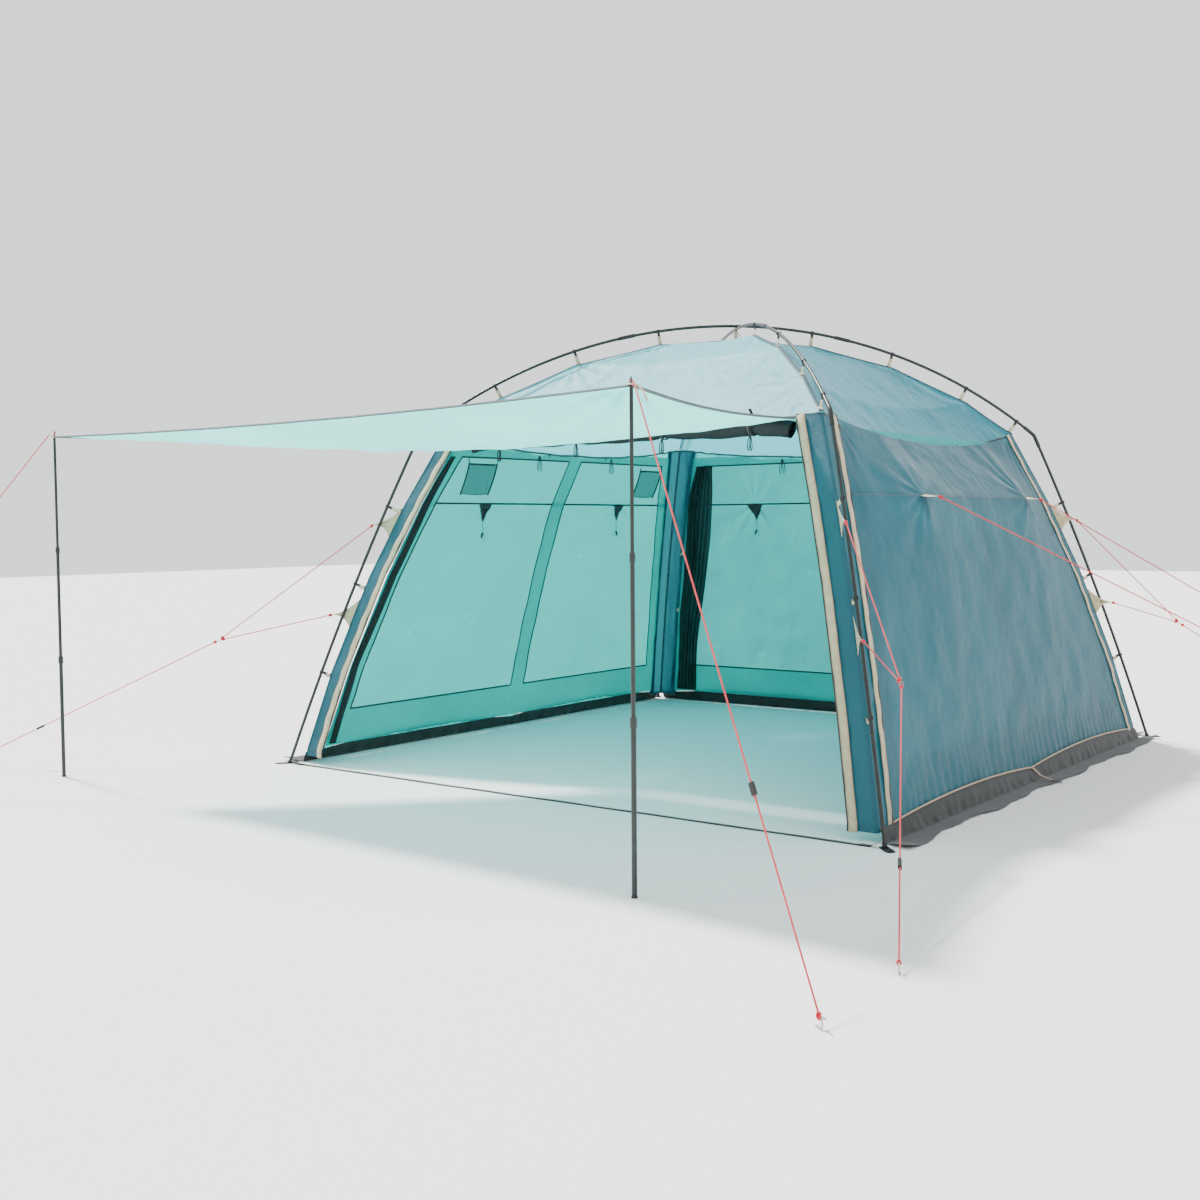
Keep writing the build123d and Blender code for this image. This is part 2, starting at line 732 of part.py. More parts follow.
save(group([corner_tab(angle, z) for angle in CORNERS.values() for z in TAB_LEVELS]), "corner_guy_tabs")
save(group([wall_tab(angle, half) for angle, half in tab_places]), "wall_guy_tabs")
rings, pegs = zip(*[corner_guy(name) for name in CORNERS])
tab_x = profile_half(TAB_Z) + RIGHT_BULGE[1] + 66
wall_pegs = [
    single_guy("wall_front", Vector(tab_x, -TAB_REACH, TAB_Z - 6)),
    single_guy("wall_back", Vector(tab_x, TAB_REACH, TAB_Z - 6)),
]
awning_pegs = [
    single_guy("awning_right", spike_side(AWNING_RIGHT, "awning_right")),
    single_guy("awning_left", spike_side(AWNING_LEFT, "awning_left")),
]
save(group(rings), "guy_rings")
save(group(list(pegs) + wall_pegs + awning_pegs), "ground_pegs")

save(awning_sheet(), "awning_sheet")
save(group([awning_corner(place) for place in (AWNING_RIGHT, AWNING_LEFT)]), "awning_corners")
awning_pole("right", AWNING_RIGHT)
awning_pole("left", AWNING_LEFT)
for name, angle, half in (("front_right", 270, 1), ("front_left", 270, -1), ("right_front", 0, -1)):
    save(zip_slider(angle, half), f"zip_slider_{name}")
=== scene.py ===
"""Screen-house shelter with its front panel raised as an awning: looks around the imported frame."""
from math import atan2, ceil, cos, exp, hypot, pi, radians, sin, sqrt

import bmesh
import bpy
import numpy as np
from mathutils import Matrix, Vector, noise


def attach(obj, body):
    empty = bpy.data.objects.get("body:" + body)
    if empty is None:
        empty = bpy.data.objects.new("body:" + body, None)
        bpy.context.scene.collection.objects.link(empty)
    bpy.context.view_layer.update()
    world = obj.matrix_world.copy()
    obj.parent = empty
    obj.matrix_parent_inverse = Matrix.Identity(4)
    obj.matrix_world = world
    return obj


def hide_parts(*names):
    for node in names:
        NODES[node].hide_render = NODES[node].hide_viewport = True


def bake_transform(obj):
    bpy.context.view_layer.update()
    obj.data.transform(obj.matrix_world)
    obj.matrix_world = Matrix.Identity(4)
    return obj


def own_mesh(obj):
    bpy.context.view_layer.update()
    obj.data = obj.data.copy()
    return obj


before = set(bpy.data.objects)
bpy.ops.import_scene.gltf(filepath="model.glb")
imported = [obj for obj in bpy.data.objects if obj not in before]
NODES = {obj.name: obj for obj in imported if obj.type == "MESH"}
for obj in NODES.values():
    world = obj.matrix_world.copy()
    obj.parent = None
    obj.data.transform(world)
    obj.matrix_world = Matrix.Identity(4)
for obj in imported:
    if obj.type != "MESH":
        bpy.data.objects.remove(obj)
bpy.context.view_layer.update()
UP = Vector((0, 0, 1))

# ---- The tent's centre in the row's frame; every figure below is about that centre, in metres ----
TENT = Vector((0.285, 0.520, 0))

# ---- Figures that part.py has too ----
TIP_HALF = 1.150
ROOF_APEX = 2.295
ROOF_TIP_Z = 1.772
PROFILE = ((1.150, 1.768), (1.302, 1.400), (1.445, 1.000), (1.590, 0.500), (1.690, 0.070))
CORNER_PANEL = 0.130
TAPE_WIDTH = 0.040
TAPE_THICK = 0.0012
TAB_REACH = 0.650
TAB_Z = 1.400
RIGHT_BULGE = 0.118
FOOT_HALF = 1.750
HINGE_Y = -1.165
AWNING_Z = 1.742
AWNING_BACK_HALF = 1.040
AWNING_RIGHT = (1.375, -2.910)
AWNING_LEFT = (-2.400, -2.690)
EYELET_EDGE = 0.016
GUY_OFFSET = 0.024
LINE_D = 0.0055
RING_Z = 0.672
RING_HALF = {"front_left": 2.005, "front_right": 1.900, "back_right": 1.880, "back_left": 1.900}
TAB_LEVELS = (1.285, 0.800)
PEG_TOP = 0.024
PEGS = {
    "front_left": (-3.050, -2.870),
    "front_right": (2.460, -3.140),
    "back_right": (2.760, 2.230),
    "back_left": (-2.350, 2.200),
    "wall_front": (3.290, 1.860),
    "wall_back": (3.300, 2.230),
    "awning_right": (2.490, -3.660),
    "awning_left": (-3.400, -3.660),
}
CORNERS = {"back_right": 45.0, "back_left": 135.0, "front_left": 225.0, "front_right": 315.0}
WALLS = {"right": 0.0, "back": 90.0, "left": 180.0}
ROOT2 = sqrt(2)


def out_of(angle):
    return Vector((cos(radians(angle)), sin(radians(angle)), 0))


def beside(angle):
    """Sideways from out_of, as the CAD's upright planes have it."""
    return Vector((sin(radians(angle)), -cos(radians(angle)), 0))


def along_of(angle):
    return Vector((-sin(radians(angle)), cos(radians(angle)), 0))


def half_at(z):
    """Half side of the fabric shell at a height."""
    heights = [height for _, height in reversed(PROFILE)]
    halves = [half for half, _ in reversed(PROFILE)]
    return float(np.interp(z, heights, halves))


def ridge_z(half):
    """Height of the roof's ridge over x = y = half."""
    run = TIP_HALF * ROOT2
    drop = ROOF_APEX - ROOF_TIP_Z
    radius = (run * run + drop * drop) / (2 * drop)
    return ROOF_APEX - radius + sqrt(radius * radius - 2 * half * half)


# ---- Camera, light and floor ----
CAMERA = (4.162, -6.783, 1.279)
CAMERA_TURN = radians(37.063)
CAMERA_TILT = radians(-3.089)
CAMERA_ROLL = radians(-0.450)
FOCAL = 1412.2 / 1200 * 36.0


def make_camera():
    forward = Vector((-sin(CAMERA_TURN) * cos(CAMERA_TILT), cos(CAMERA_TURN) * cos(CAMERA_TILT), sin(CAMERA_TILT)))
    right = Vector((cos(CAMERA_TURN), sin(CAMERA_TURN), 0))
    top = right.cross(forward)
    rolled_right = right * cos(CAMERA_ROLL) + top * sin(CAMERA_ROLL)
    rolled_top = top * cos(CAMERA_ROLL) - right * sin(CAMERA_ROLL)
    data = bpy.data.cameras.new("camera")
    data.lens = FOCAL
    data.sensor_width = 36.0
    camera = bpy.data.objects.new("camera", data)
    bpy.context.scene.collection.objects.link(camera)
    turn = Matrix((rolled_right, rolled_top, -forward)).transposed()
    camera.matrix_world = Matrix.Translation(TENT + Vector(CAMERA)) @ turn.to_4x4()
    bpy.context.scene.camera = camera


def make_light():
    world = bpy.data.worlds.new("studio")
    world.use_nodes = True
    background = world.node_tree.nodes["Background"]
    background.inputs["Color"].default_value = (0.96, 0.98, 1.0, 1)
    background.inputs["Strength"].default_value = 1.5
    bpy.context.scene.world = world
    data = bpy.data.lights.new("sun", "SUN")
    data.energy = 8.0
    data.angle = radians(6)
    data.color = (1.0, 0.97, 0.92)
    sun = bpy.data.objects.new("sun", data)
    sun.rotation_euler = Vector((-0.70, 0.12, 1.0)).to_track_quat("Z", "Y").to_euler()
    bpy.context.scene.collection.objects.link(sun)


def make_floor():
    bpy.ops.mesh.primitive_plane_add(size=60, location=(0, 0, -0.0005))
    floor = bpy.context.object
    floor.name = "floor"
    material = bpy.data.materials.new("floor")
    material.use_nodes = True
    shader = material.node_tree.nodes["Principled BSDF"]
    shader.inputs["Base Color"].default_value = (0.86, 0.86, 0.86, 1)
    shader.inputs["Roughness"].default_value = 0.9
    floor.data.materials.append(material)


# ---- Materials ----
class Shader:
    """A node material under construction."""

    def __init__(self, name):
        self.material = bpy.data.materials.new(name)
        self.material.use_nodes = True
        self.tree = self.material.node_tree
        self.main = self.tree.nodes["Principled BSDF"]
        self.output = self.tree.nodes["Material Output"]
        self.place = self.node("TexCoord").outputs["Object"]

    def node(self, kind, **values):
        made = self.tree.nodes.new("ShaderNode" + kind)
        for name, value in values.items():
            if hasattr(made, name):
                setattr(made, name, value)
            else:
                made.inputs[name.replace("_", " ")].default_value = value
        return made

    def link(self, source, target):
        self.tree.links.new(source, target)

    def noise(self, scale, detail=4.0, stretch=(1, 1, 1), roughness=0.55):
        mapping = self.node("Mapping")
        mapping.inputs["Scale"].default_value = stretch
        self.link(self.place, mapping.inputs["Vector"])
        made = self.node("TexNoise", Scale=scale, Detail=detail, Roughness=roughness)
        self.link(mapping.outputs["Vector"], made.inputs["Vector"])
        return made.outputs["Fac"]

    def weave(self, pitch):
        """Threads crossing at right angles, as a height from 0 to 1."""
        total = None
        for axis in ("X", "Y", "Z"):
            wave = self.node("TexWave", wave_type="BANDS", bands_direction=axis, Scale=0.314 / pitch, Distortion=0.3)
            self.link(self.place, wave.inputs["Vector"])
            if total is None:
                total = wave.outputs["Fac"]
                continue
            both = self.node("Math", operation="MAXIMUM")
            self.link(total, both.inputs[0])
            self.link(wave.outputs["Fac"], both.inputs[1])
            total = both.outputs[0]
        return total

    def ramp(self, factor, low, high, low_at=0.3, high_at=0.7):
        made = self.node("ValToRGB")
        made.color_ramp.elements[0].position = low_at
        made.color_ramp.elements[1].position = high_at
        made.color_ramp.elements[0].color = (*low, 1)
        made.color_ramp.elements[1].color = (*high, 1)
        self.link(factor, made.inputs["Fac"])
        return made.outputs["Color"]

    def bump(self, height, strength, distance, before=None):
        made = self.node("Bump", Strength=strength, Distance=distance)
        self.link(height, made.inputs["Height"])
        if before is not None:
            self.link(before, made.inputs["Normal"])
        return made.outputs["Normal"]

    def set(self, **values):
        for name, value in values.items():
            self.main.inputs[name.replace("_", " ")].default_value = value


def shade(colour, factor):
    return tuple(min(1.0, channel * factor) for channel in colour)


def cloth_material(name, colour, glow, share, crinkle=0.5, roughness=0.5):
    """Thin coated polyester: it shows light from behind through a translucent share."""
    shader = Shader(name)
    cloud = shader.noise(1.3, 5.0)
    tint = shader.ramp(cloud, shade(colour, 0.90), shade(colour, 1.10))
    shader.link(tint, shader.main.inputs["Base Color"])
    shader.set(Roughness=roughness, Sheen_Weight=0.15, Sheen_Roughness=0.4)
    shader.main.inputs["Specular IOR Level"].default_value = 0.35
    creases = shader.noise(7.0, 8.0, (1.0, 1.0, 0.6), 0.62)
    fine = shader.noise(46.0, 5.0)
    normal = shader.bump(creases, crinkle, 0.02)
    normal = shader.bump(fine, 0.25, 0.002, normal)
    normal = shader.bump(shader.weave(0.0011), 0.12, 0.0002, normal)
    shader.link(normal, shader.main.inputs["Normal"])
    through = shader.node("BsdfTranslucent")
    shader.link(shader.ramp(cloud, shade(glow, 0.93), shade(glow, 1.07)), through.inputs["Color"])
    shader.link(normal, through.inputs["Normal"])
    mix = shader.node("MixShader")
    mix.inputs["Fac"].default_value = share
    shader.link(shader.main.outputs[0], mix.inputs[1])
    shader.link(through.outputs[0], mix.inputs[2])
    shader.link(mix.outputs[0], shader.output.inputs["Surface"])
    return shader.material


def webbing_material(name, colour, pitch=0.0016, spread=0.12):
    """Woven tape with visible ribs."""
    shader = Shader(name)
    ribs = shader.weave(pitch)
    cloud = shader.noise(30.0, 4.0)
    shader.link(shader.ramp(cloud, shade(colour, 1 - spread), shade(colour, 1 + spread)), shader.main.inputs["Base Color"])
    shader.set(Roughness=0.8, Sheen_Weight=0.25)
    shader.link(shader.bump(ribs, 0.5, 0.0005), shader.main.inputs["Normal"])
    return shader.material


def net_material(name, colour, cover):
    """Mosquito net: dark threads with see-through gaps, finer than the eye parts at this size."""
    shader = Shader(name)
    cloud = shader.noise(9.0, 4.0)
    shader.link(shader.ramp(cloud, shade(colour, 0.8), shade(colour, 1.3)), shader.main.inputs["Base Color"])
    shader.set(Roughness=0.75, Alpha=cover)
    shader.link(shader.bump(shader.weave(0.0018), 0.3, 0.0004), shader.main.inputs["Normal"])
    return shader.material


def hard_material(name, colour, roughness, metallic=0.0, wear=0.15, grain=0.08):
    """Metal or moulded plastic with a slight grain and uneven gloss."""
    shader = Shader(name)
    patches = shader.noise(24.0, 6.0)
    shader.link(shader.ramp(patches, shade(colour, 1 - wear), shade(colour, 1 + wear)), shader.main.inputs["Base Color"])
    rough = shader.ramp(shader.noise(60.0, 5.0), (roughness * 0.8,) * 3, (min(1.0, roughness * 1.25),) * 3)
    shader.link(rough, shader.main.inputs["Roughness"])
    shader.set(Metallic=metallic)
    shader.link(shader.bump(shader.noise(420.0, 3.0), grain, 0.0004), shader.main.inputs["Normal"])
    return shader.material


TEAL = (0.035, 0.26, 0.32)
AQUA = (0.06, 0.80, 0.74)
MAT = {}


def make_materials():
    # Roof cloth paler than the wall cloth: painted light for the sun falling on the front roof panel. The right panel
    # gets the darker painted-shade copy below.
    MAT["roof"] = cloth_material("roof_cloth", (0.20, 0.62, 0.72), (0.16, 0.72, 0.82), 0.40)
    # Darker copy of the roof cloth for the right roof panel: painted shade, as that panel faces away from the sun.
    MAT["roof_right_painted_shade"] = cloth_material("roof_right_cloth", (0.020, 0.20, 0.27), (0.06, 0.50, 0.58), 0.30)
    # Darker copy of the wall cloth, with less translucency, for the right wall: painted shade, as that wall faces away
    # from the sun.
    MAT["wall_right"] = cloth_material("wall_right_cloth", (0.012, 0.105, 0.150), (0.030, 0.30, 0.32), 0.25)
    MAT["wall_seam"] = webbing_material("wall_seam_tape", (0.010, 0.085, 0.12), 0.0012)
    MAT["hem"] = webbing_material("dark_hem", (0.030, 0.075, 0.085), 0.0012)
    MAT["piping"] = webbing_material("tan_piping", (0.50, 0.36, 0.24), 0.0012)
    MAT["brown"] = webbing_material("brown_stitching", (0.16, 0.09, 0.07), 0.0012)
    MAT["zip"] = hard_material("zip_metal", (0.06, 0.05, 0.05), 0.4, 0.6)
    MAT["steel_dark"] = hard_material("dark_steel", (0.03, 0.032, 0.032), 0.45, 0.7)
    MAT["wall"] = cloth_material("wall_cloth", TEAL, AQUA, 0.40)
    # Paler copy of the wall cloth with a brighter translucent colour and a larger translucent share: painted light for
    # the sun shining through the awning. The translucency itself is real shading.
    MAT["awning"] = cloth_material("awning_cloth_painted_light", (0.10, 0.55, 0.56), (0.22, 0.96, 0.86), 0.60, 0.35)
    MAT["corner"] = cloth_material("corner_cloth", (0.014, 0.095, 0.135), (0.03, 0.30, 0.34), 0.22)
    MAT["band"] = cloth_material("band_cloth", (0.02, 0.30, 0.32), (0.05, 0.74, 0.66), 0.42)
    MAT["beige"] = webbing_material("beige_webbing", (0.56, 0.49, 0.34))
    MAT["beige_cloth"] = webbing_material("beige_cloth", (0.50, 0.43, 0.27), 0.0012)
    MAT["black_tape"] = webbing_material("black_webbing", (0.012, 0.014, 0.014), 0.0018, 0.3)
    MAT["skirt"] = webbing_material("skirt_cloth", (0.010, 0.014, 0.014), 0.0024, 0.3)
    MAT["net"] = net_material("window_net", (0.02, 0.05, 0.055), 0.34)
    MAT["net_dense"] = net_material("folded_net", (0.008, 0.014, 0.016), 0.93)
    MAT["net_pocket"] = net_material("pocket_net", (0.01, 0.03, 0.035), 0.62)
    MAT["red"] = webbing_material("red_cord", (0.62, 0.018, 0.028), 0.0012, 0.15)
    MAT["pole"] = hard_material("pole_coating", (0.018, 0.024, 0.022), 0.32, 0.3, 0.25)
    MAT["steel"] = hard_material("plain_steel", (0.45, 0.45, 0.44), 0.35, 1.0)
    MAT["black"] = hard_material("black_plastic", (0.014, 0.014, 0.015), 0.45)
    MAT["rubber"] = hard_material("black_rubber", (0.02, 0.02, 0.02), 0.8)


# ---- Mesh helpers ----
def link_mesh(name, vertices, faces, material, smooth=True):
    mesh = bpy.data.meshes.new(name)
    mesh.from_pydata([tuple(point) for point in vertices], [], faces)
    mesh.validate()
    made = bpy.data.objects.new(name, mesh)
    bpy.context.scene.collection.objects.link(made)
    mesh.materials.append(material)
    mesh.polygons.foreach_set("use_smooth", [smooth] * len(mesh.polygons))
    mesh.update()
    return made


def grid_faces(rows, columns, first=0, closed=False):
    faces = []
    for row in range(rows - 1):
        for column in range(columns if closed else columns - 1):
            beside_it = (column + 1) % columns
            faces.append((
                first + row * columns + column, first + row * columns + beside_it,
                first + (row + 1) * columns + beside_it, first + (row + 1) * columns + column,
            ))
    return faces


def sheet_mesh(name, grid, material):
    """One sheet from rows of points about the tent's centre."""
    rows, columns = len(grid), len(grid[0])
    points = [TENT + Vector(point) for line in grid for point in line]
    return link_mesh(name, points, grid_faces(rows, columns), material)


def many(name, shapes, material, smooth=True):
    """Several (points, faces) shapes joined into one piece."""
    points, faces = [], []
    for some_points, some_faces in shapes:
        first = len(points)
        points += [TENT + Vector(point) for point in some_points]
        faces += [tuple(first + index for index in face) for face in some_faces]
    return link_mesh(name, points, faces, material, smooth)


def strip_shape(path, sides, width, thickness, lifts=None):
    """Flat tape along a path: sides gives the tape's across direction at each point."""
    path = [Vector(point) for point in path]
    points, faces = [], []
    count = len(path)
    for index, point in enumerate(path):
        ahead = path[min(index + 1, count - 1)] - path[max(index - 1, 0)]
        across = Vector(sides[index] if isinstance(sides, list) else sides)
        across = (across - ahead.normalized() * across.dot(ahead.normalized())).normalized()
        normal = ahead.normalized().cross(across)
        for x, z in ((-1, -1), (1, -1), (1, 1), (-1, 1)):
            points.append(point + across * (x * width / 2) + normal * (z * thickness / 2))
    for index in range(count - 1):
        for corner in range(4):
            after = (corner + 1) % 4
            faces.append((index * 4 + corner, index * 4 + after, (index + 1) * 4 + after, (index + 1) * 4 + corner))
    faces.append((3, 2, 1, 0))
    faces.append(tuple((count - 1) * 4 + corner for corner in range(4)))
    return points, faces


def tube_shape(path, radius, sides=10, closed=False):
    """Round bar along a path; radius is a number or one for each point."""
    path = [Vector(point) for point in path]
    count = len(path)
    radii = radius if isinstance(radius, (list, tuple)) else [radius] * count
    points, faces = [], []
    normal = None
    for index, point in enumerate(path):
        if closed:
            ahead = path[(index + 1) % count] - path[index - 1]
        else:
            ahead = path[min(index + 1, count - 1)] - path[max(index - 1, 0)]
        ahead.normalize()
        if normal is None:
            normal = ahead.orthogonal().normalized()
        normal = (normal - ahead * normal.dot(ahead)).normalized()
        binormal = ahead.cross(normal)
        for side in range(sides):
            turn = 2 * pi * side / sides
            points.append(point + (normal * cos(turn) + binormal * sin(turn)) * radii[index])
    for index in range(count if closed else count - 1):
        after = (index + 1) % count
        for side in range(sides):
            beside_it = (side + 1) % sides
            faces.append((index * sides + side, index * sides + beside_it, after * sides + beside_it, after * sides + side))
    if not closed:
        faces.append(tuple(reversed(range(sides))))
        faces.append(tuple((count - 1) * sides + side for side in range(sides)))
    return points, faces


def wave(x, y, seed):
    """Smooth noise from -1 to 1."""
    return noise.noise(Vector((x, y, seed * 7.31)))


# ---- Guy lines ----
def ring_point(name):
    angle = CORNERS[name]
    return beside(angle) * 0.0128 + out_of(angle) * RING_HALF[name] * ROOT2 + UP * RING_Z


def tab_tip(angle, height):
    return beside(angle) * 0.0128 + out_of(angle) * (half_at(height) + 0.074) * ROOT2 + UP * height


def peg_point(name):
    return Vector((*PEGS[name], PEG_TOP))


def straight_cord(name, start, end, body, node):
    """A taut line between two points, as a smooth spline."""
    start, end = Vector(start), Vector(end)
    data = bpy.data.curves.new(name, "CURVE")
    data.dimensions = "3D"
    data.bevel_depth = LINE_D / 2
    data.bevel_resolution = 3
    spline = data.splines.new("NURBS")
    stops = [start, start.lerp(end, 0.33), start.lerp(end, 0.66), end]
    spline.points.add(len(stops) - 1)
    for point, stop in zip(spline.points, stops):
        point.co = (*(TENT + stop), 1)
    spline.order_u = 3
    spline.use_endpoint_u = True
    cord = bpy.data.objects.new(name, data)
    bpy.context.scene.collection.objects.link(cord)
    data.materials.append(MAT["red"])
    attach(cord, body)
    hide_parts(node)
    return cord


def shortening_cord(name, start, end, body, node):
    """A taut line towards its peg, as a tube mesh of its own, on the body it is given."""
    start, end = Vector(start), Vector(end)
    stops = [start.lerp(end, share) for share in np.linspace(0, 1, 25)]
    cord = many(name, [tube_shape(stops, LINE_D / 2)], MAT["red"])
    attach(cord, body)
    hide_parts(node)
    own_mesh(cord)
    return cord


def knot_shape(centre, along, size=0.0062):
    """Small overhand knot round a line."""
    along = Vector(along).normalized()
    normal = along.orthogonal().normalized()
    binormal = along.cross(normal)
    path = []
    for step in range(36):
        turn = 2 * pi * step / 36
        radius = size * (0.75 + 0.35 * cos(3 * turn))
        around = normal * cos(2 * turn) + binormal * sin(2 * turn)
        path.append(Vector(centre) + around * radius + along * size * 1.3 * sin(3 * turn))
    return tube_shape(path, LINE_D * 0.42, 6, closed=True)


def spike_side(place, name):
    top = Vector((*place, AWNING_Z + 0.012))
    away = peg_point(name) - top
    away.z = 0
    return top + away.normalized() * GUY_OFFSET


def loop_shape(centre, toward, normal, radius, thickness):
    """Loop of cord round a spike, peg or ring, its neck on the side of toward."""
    centre, toward, normal = Vector(centre), Vector(toward).normalized(), Vector(normal).normalized()
    across = normal.cross(toward)
    path = [centre + toward * radius * cos(turn) * (1.6 if cos(turn) > 0 else 1.0) + across * radius * sin(turn)
            for turn in np.linspace(0, 2 * pi, 24, endpoint=False)]
    return tube_shape(path, thickness, 6, closed=True)


def make_guys():
    knots = []
    for name, angle in CORNERS.items():
        ring = ring_point(name)
        peg = peg_point(name)
        down = (peg - ring).normalized()
        node = f"guy_line_{name}"
        for height, word in zip(TAB_LEVELS, ("upper", "lower")):
            start = tab_tip(angle, height) + out_of(angle) * 0.002
            end = ring + (start - ring).normalized() * BRANCH_CLEAR
            straight_cord(f"guy_{name}_{word}", start, end, "shelter", node)
            knots.append(knot_shape(start + (end - start).normalized() * 0.014, end - start))
            knots.append(knot_shape(end + (start - end).normalized() * 0.010, end - start))
        straight_cord(f"guy_{name}_main", ring + down * MAIN_CLEAR, peg, "shelter", node)
        knots.append(knot_shape(ring + down * 0.022, down))
        knots.append(knot_shape(peg - down * 0.012, down))
    tab_x = half_at(TAB_Z) + RIGHT_BULGE + 0.066
    for name, side in (("wall_front", -1), ("wall_back", 1)):
        start = Vector((tab_x, side * TAB_REACH, TAB_Z - 0.006))
        peg = peg_point(name)
        straight_cord(f"guy_{name}", start, peg, "shelter", f"guy_line_{name}")
        knots.append(knot_shape(start + (peg - start).normalized() * 0.012, peg - start))
        knots.append(knot_shape(peg + (start - peg).normalized() * 0.012, peg - start))
    tied = many("guy_knots", knots, MAT["red"])
    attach(tied, "shelter")
    for side, place in (("right", AWNING_RIGHT), ("left", AWNING_LEFT)):
        name = f"awning_{side}"
        start = spike_side(place, name)
        peg = peg_point(name)
        top = Vector((*place, AWNING_Z))
        shortening_cord(f"guy_{name}", start, peg, f"guy_{name}", f"guy_line_{name}")
        tie = many(f"guy_{name}_loop", [
            loop_shape(top + UP * 0.014, peg - top, UP, 0.010, 0.0022),
        ], MAT["red"])
        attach(tie, "awning")
        low_knot = many(f"guy_{name}_knot", [knot_shape(peg + (start - peg).normalized() * 0.012, peg - start)], MAT["red"])
        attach(low_knot, "shelter")


BRANCH_CLEAR = 0.013
MAIN_CLEAR = 0.011


# ---- Cloth surfaces, worked out on arrays of points ----
def ripple(a, b, size, seed):
    """Crumple of a few crossing waves, from about -1 to 1, over chart lengths a and b."""
    total = 0
    for step in range(6):
        turn = seed + 2.4 * step
        pitch = 2 * pi * (1 + 0.37 * step) / size
        forward = a * cos(turn) + b * sin(turn)
        sideways = b * cos(turn) - a * sin(turn)
        total = total + np.sin(pitch * forward + 1.3 * step * seed + 1.5 * np.sin(0.43 * pitch * sideways))
    return total / 4


def fan(a, b, at, reach, count, seed=0.0):
    """Creases that run out from a point that pulls on the cloth, from -1 to 1."""
    x, y = a - at[0], b - at[1]
    radius = np.sqrt(x * x + y * y)
    turn = np.arctan2(y, x)
    swing = np.sin(count * turn + 1.9 * np.sin(2.3 * turn + seed) + seed)
    return swing * np.exp(-radius / reach) * (1 - np.exp(-radius / 0.05))


def surface(name, shape, rows, columns, material, across=(-1.0, 1.0), down=(0.0, 1.0)):
    """Cloth from a function of across and down that gives x, y and z about the tent's centre."""
    u, v = np.meshgrid(np.linspace(*across, columns), np.linspace(*down, rows))
    x, y, z = shape(u, v)
    points = np.stack([np.broadcast_to(part, u.shape) for part in (x, y, z)], axis=-1).reshape(-1, 3)
    points = points + np.array(TENT)
    return link_mesh(name, points, grid_faces(rows, columns), material)


def joined(name, pieces):
    """One object from several, with the vertices that meet merged."""
    mesh = bmesh.new()
    materials = []
    for piece in pieces:
        first = len(mesh.faces)
        mesh.from_mesh(piece.data)
        mesh.faces.ensure_lookup_table()
        if piece.data.materials[0] not in materials:
            materials.append(piece.data.materials[0])
        for face in mesh.faces[first:]:
            face.material_index = materials.index(piece.data.materials[0])
        data = piece.data
        bpy.data.objects.remove(piece)
        bpy.data.meshes.remove(data)
    bmesh.ops.remove_doubles(mesh, verts=mesh.verts, dist=0.0004)
    data = bpy.data.meshes.new(name)
    mesh.to_mesh(data)
    mesh.free()
    for material in materials:
        data.materials.append(material)
    made = bpy.data.objects.new(name, data)
    bpy.context.scene.collection.objects.link(made)
    return made


def finish_piece(piece, body="shelter", replaces=()):
    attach(piece, body)
    if replaces:
        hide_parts(*replaces)
    return piece


def profile(z):
    heights = np.array([height for _, height in reversed(PROFILE)])
    halves = np.array([half for half, _ in reversed(PROFILE)])
    return np.interp(z, heights, halves)


def placed(angle, out, along, z):
    """x, y and z of a place given outwards from and along a wall."""
    turn = radians(angle)
    return out * cos(turn) - along * sin(turn), out * sin(turn) + along * cos(turn), z


# ---- Roof ----
CLIP_HALVES = (0.0, 0.31, 0.64, 0.95, 1.165)
EAVE_DIP = {0: 0.082, 90: 0.055, 180: 0.060, 270: 0.030}


def ridge_scallop(half):
    """How far the ridge hangs below its arc between the clips."""
    hang = np.zeros_like(half)
    for near, far in zip(CLIP_HALVES, CLIP_HALVES[1:]):
        share = (half - near) / (far - near)
        hang = np.where((share >= 0) & (share <= 1), 0.013 * 4 * share * (1 - share), hang)
    return hang


def roof_drop(half):
    run = TIP_HALF * ROOT2
    drop = ROOF_APEX - ROOF_TIP_Z
    radius = (run * run + drop * drop) / (2 * drop)
    return ROOF_APEX - radius + np.sqrt(radius * radius - 2 * half * half)


def roof_shape(angle):
    def shape(u, v):
        half = TIP_HALF * v
        along = u * half
        slack = (1 - u * u)
        dip = EAVE_DIP[angle] * v ** 1.6 * slack + 0.020 * v * slack
        inward = 0.045 * v ** 2 * slack
        crease = ripple(along, half, 0.55, 1.0 + angle) * 0.0045 + ripple(along, half, 0.16, 2.0 + angle) * 0.0013
        for clip in CLIP_HALVES[1:]:
            for side in (-1, 1):
                crease = crease + 0.0060 * fan(along, half, (side * clip, clip), 0.20, 11, clip * 9 + side)
        crease = crease * np.clip(slack * 6, 0, 1) * np.clip(v * 4, 0, 1)
        z = roof_drop(half) - ridge_scallop(half) - dip + crease * 0.9
        return placed(angle, half - inward + crease * 0.4, along, z)
    return shape


def eave_place(angle, u):
    """Point of the roof's lower edge."""
    x, y, z = roof_shape(angle)(np.array([float(u)]), np.array([1.0]))
    return Vector((x[0], y[0], z[0]))


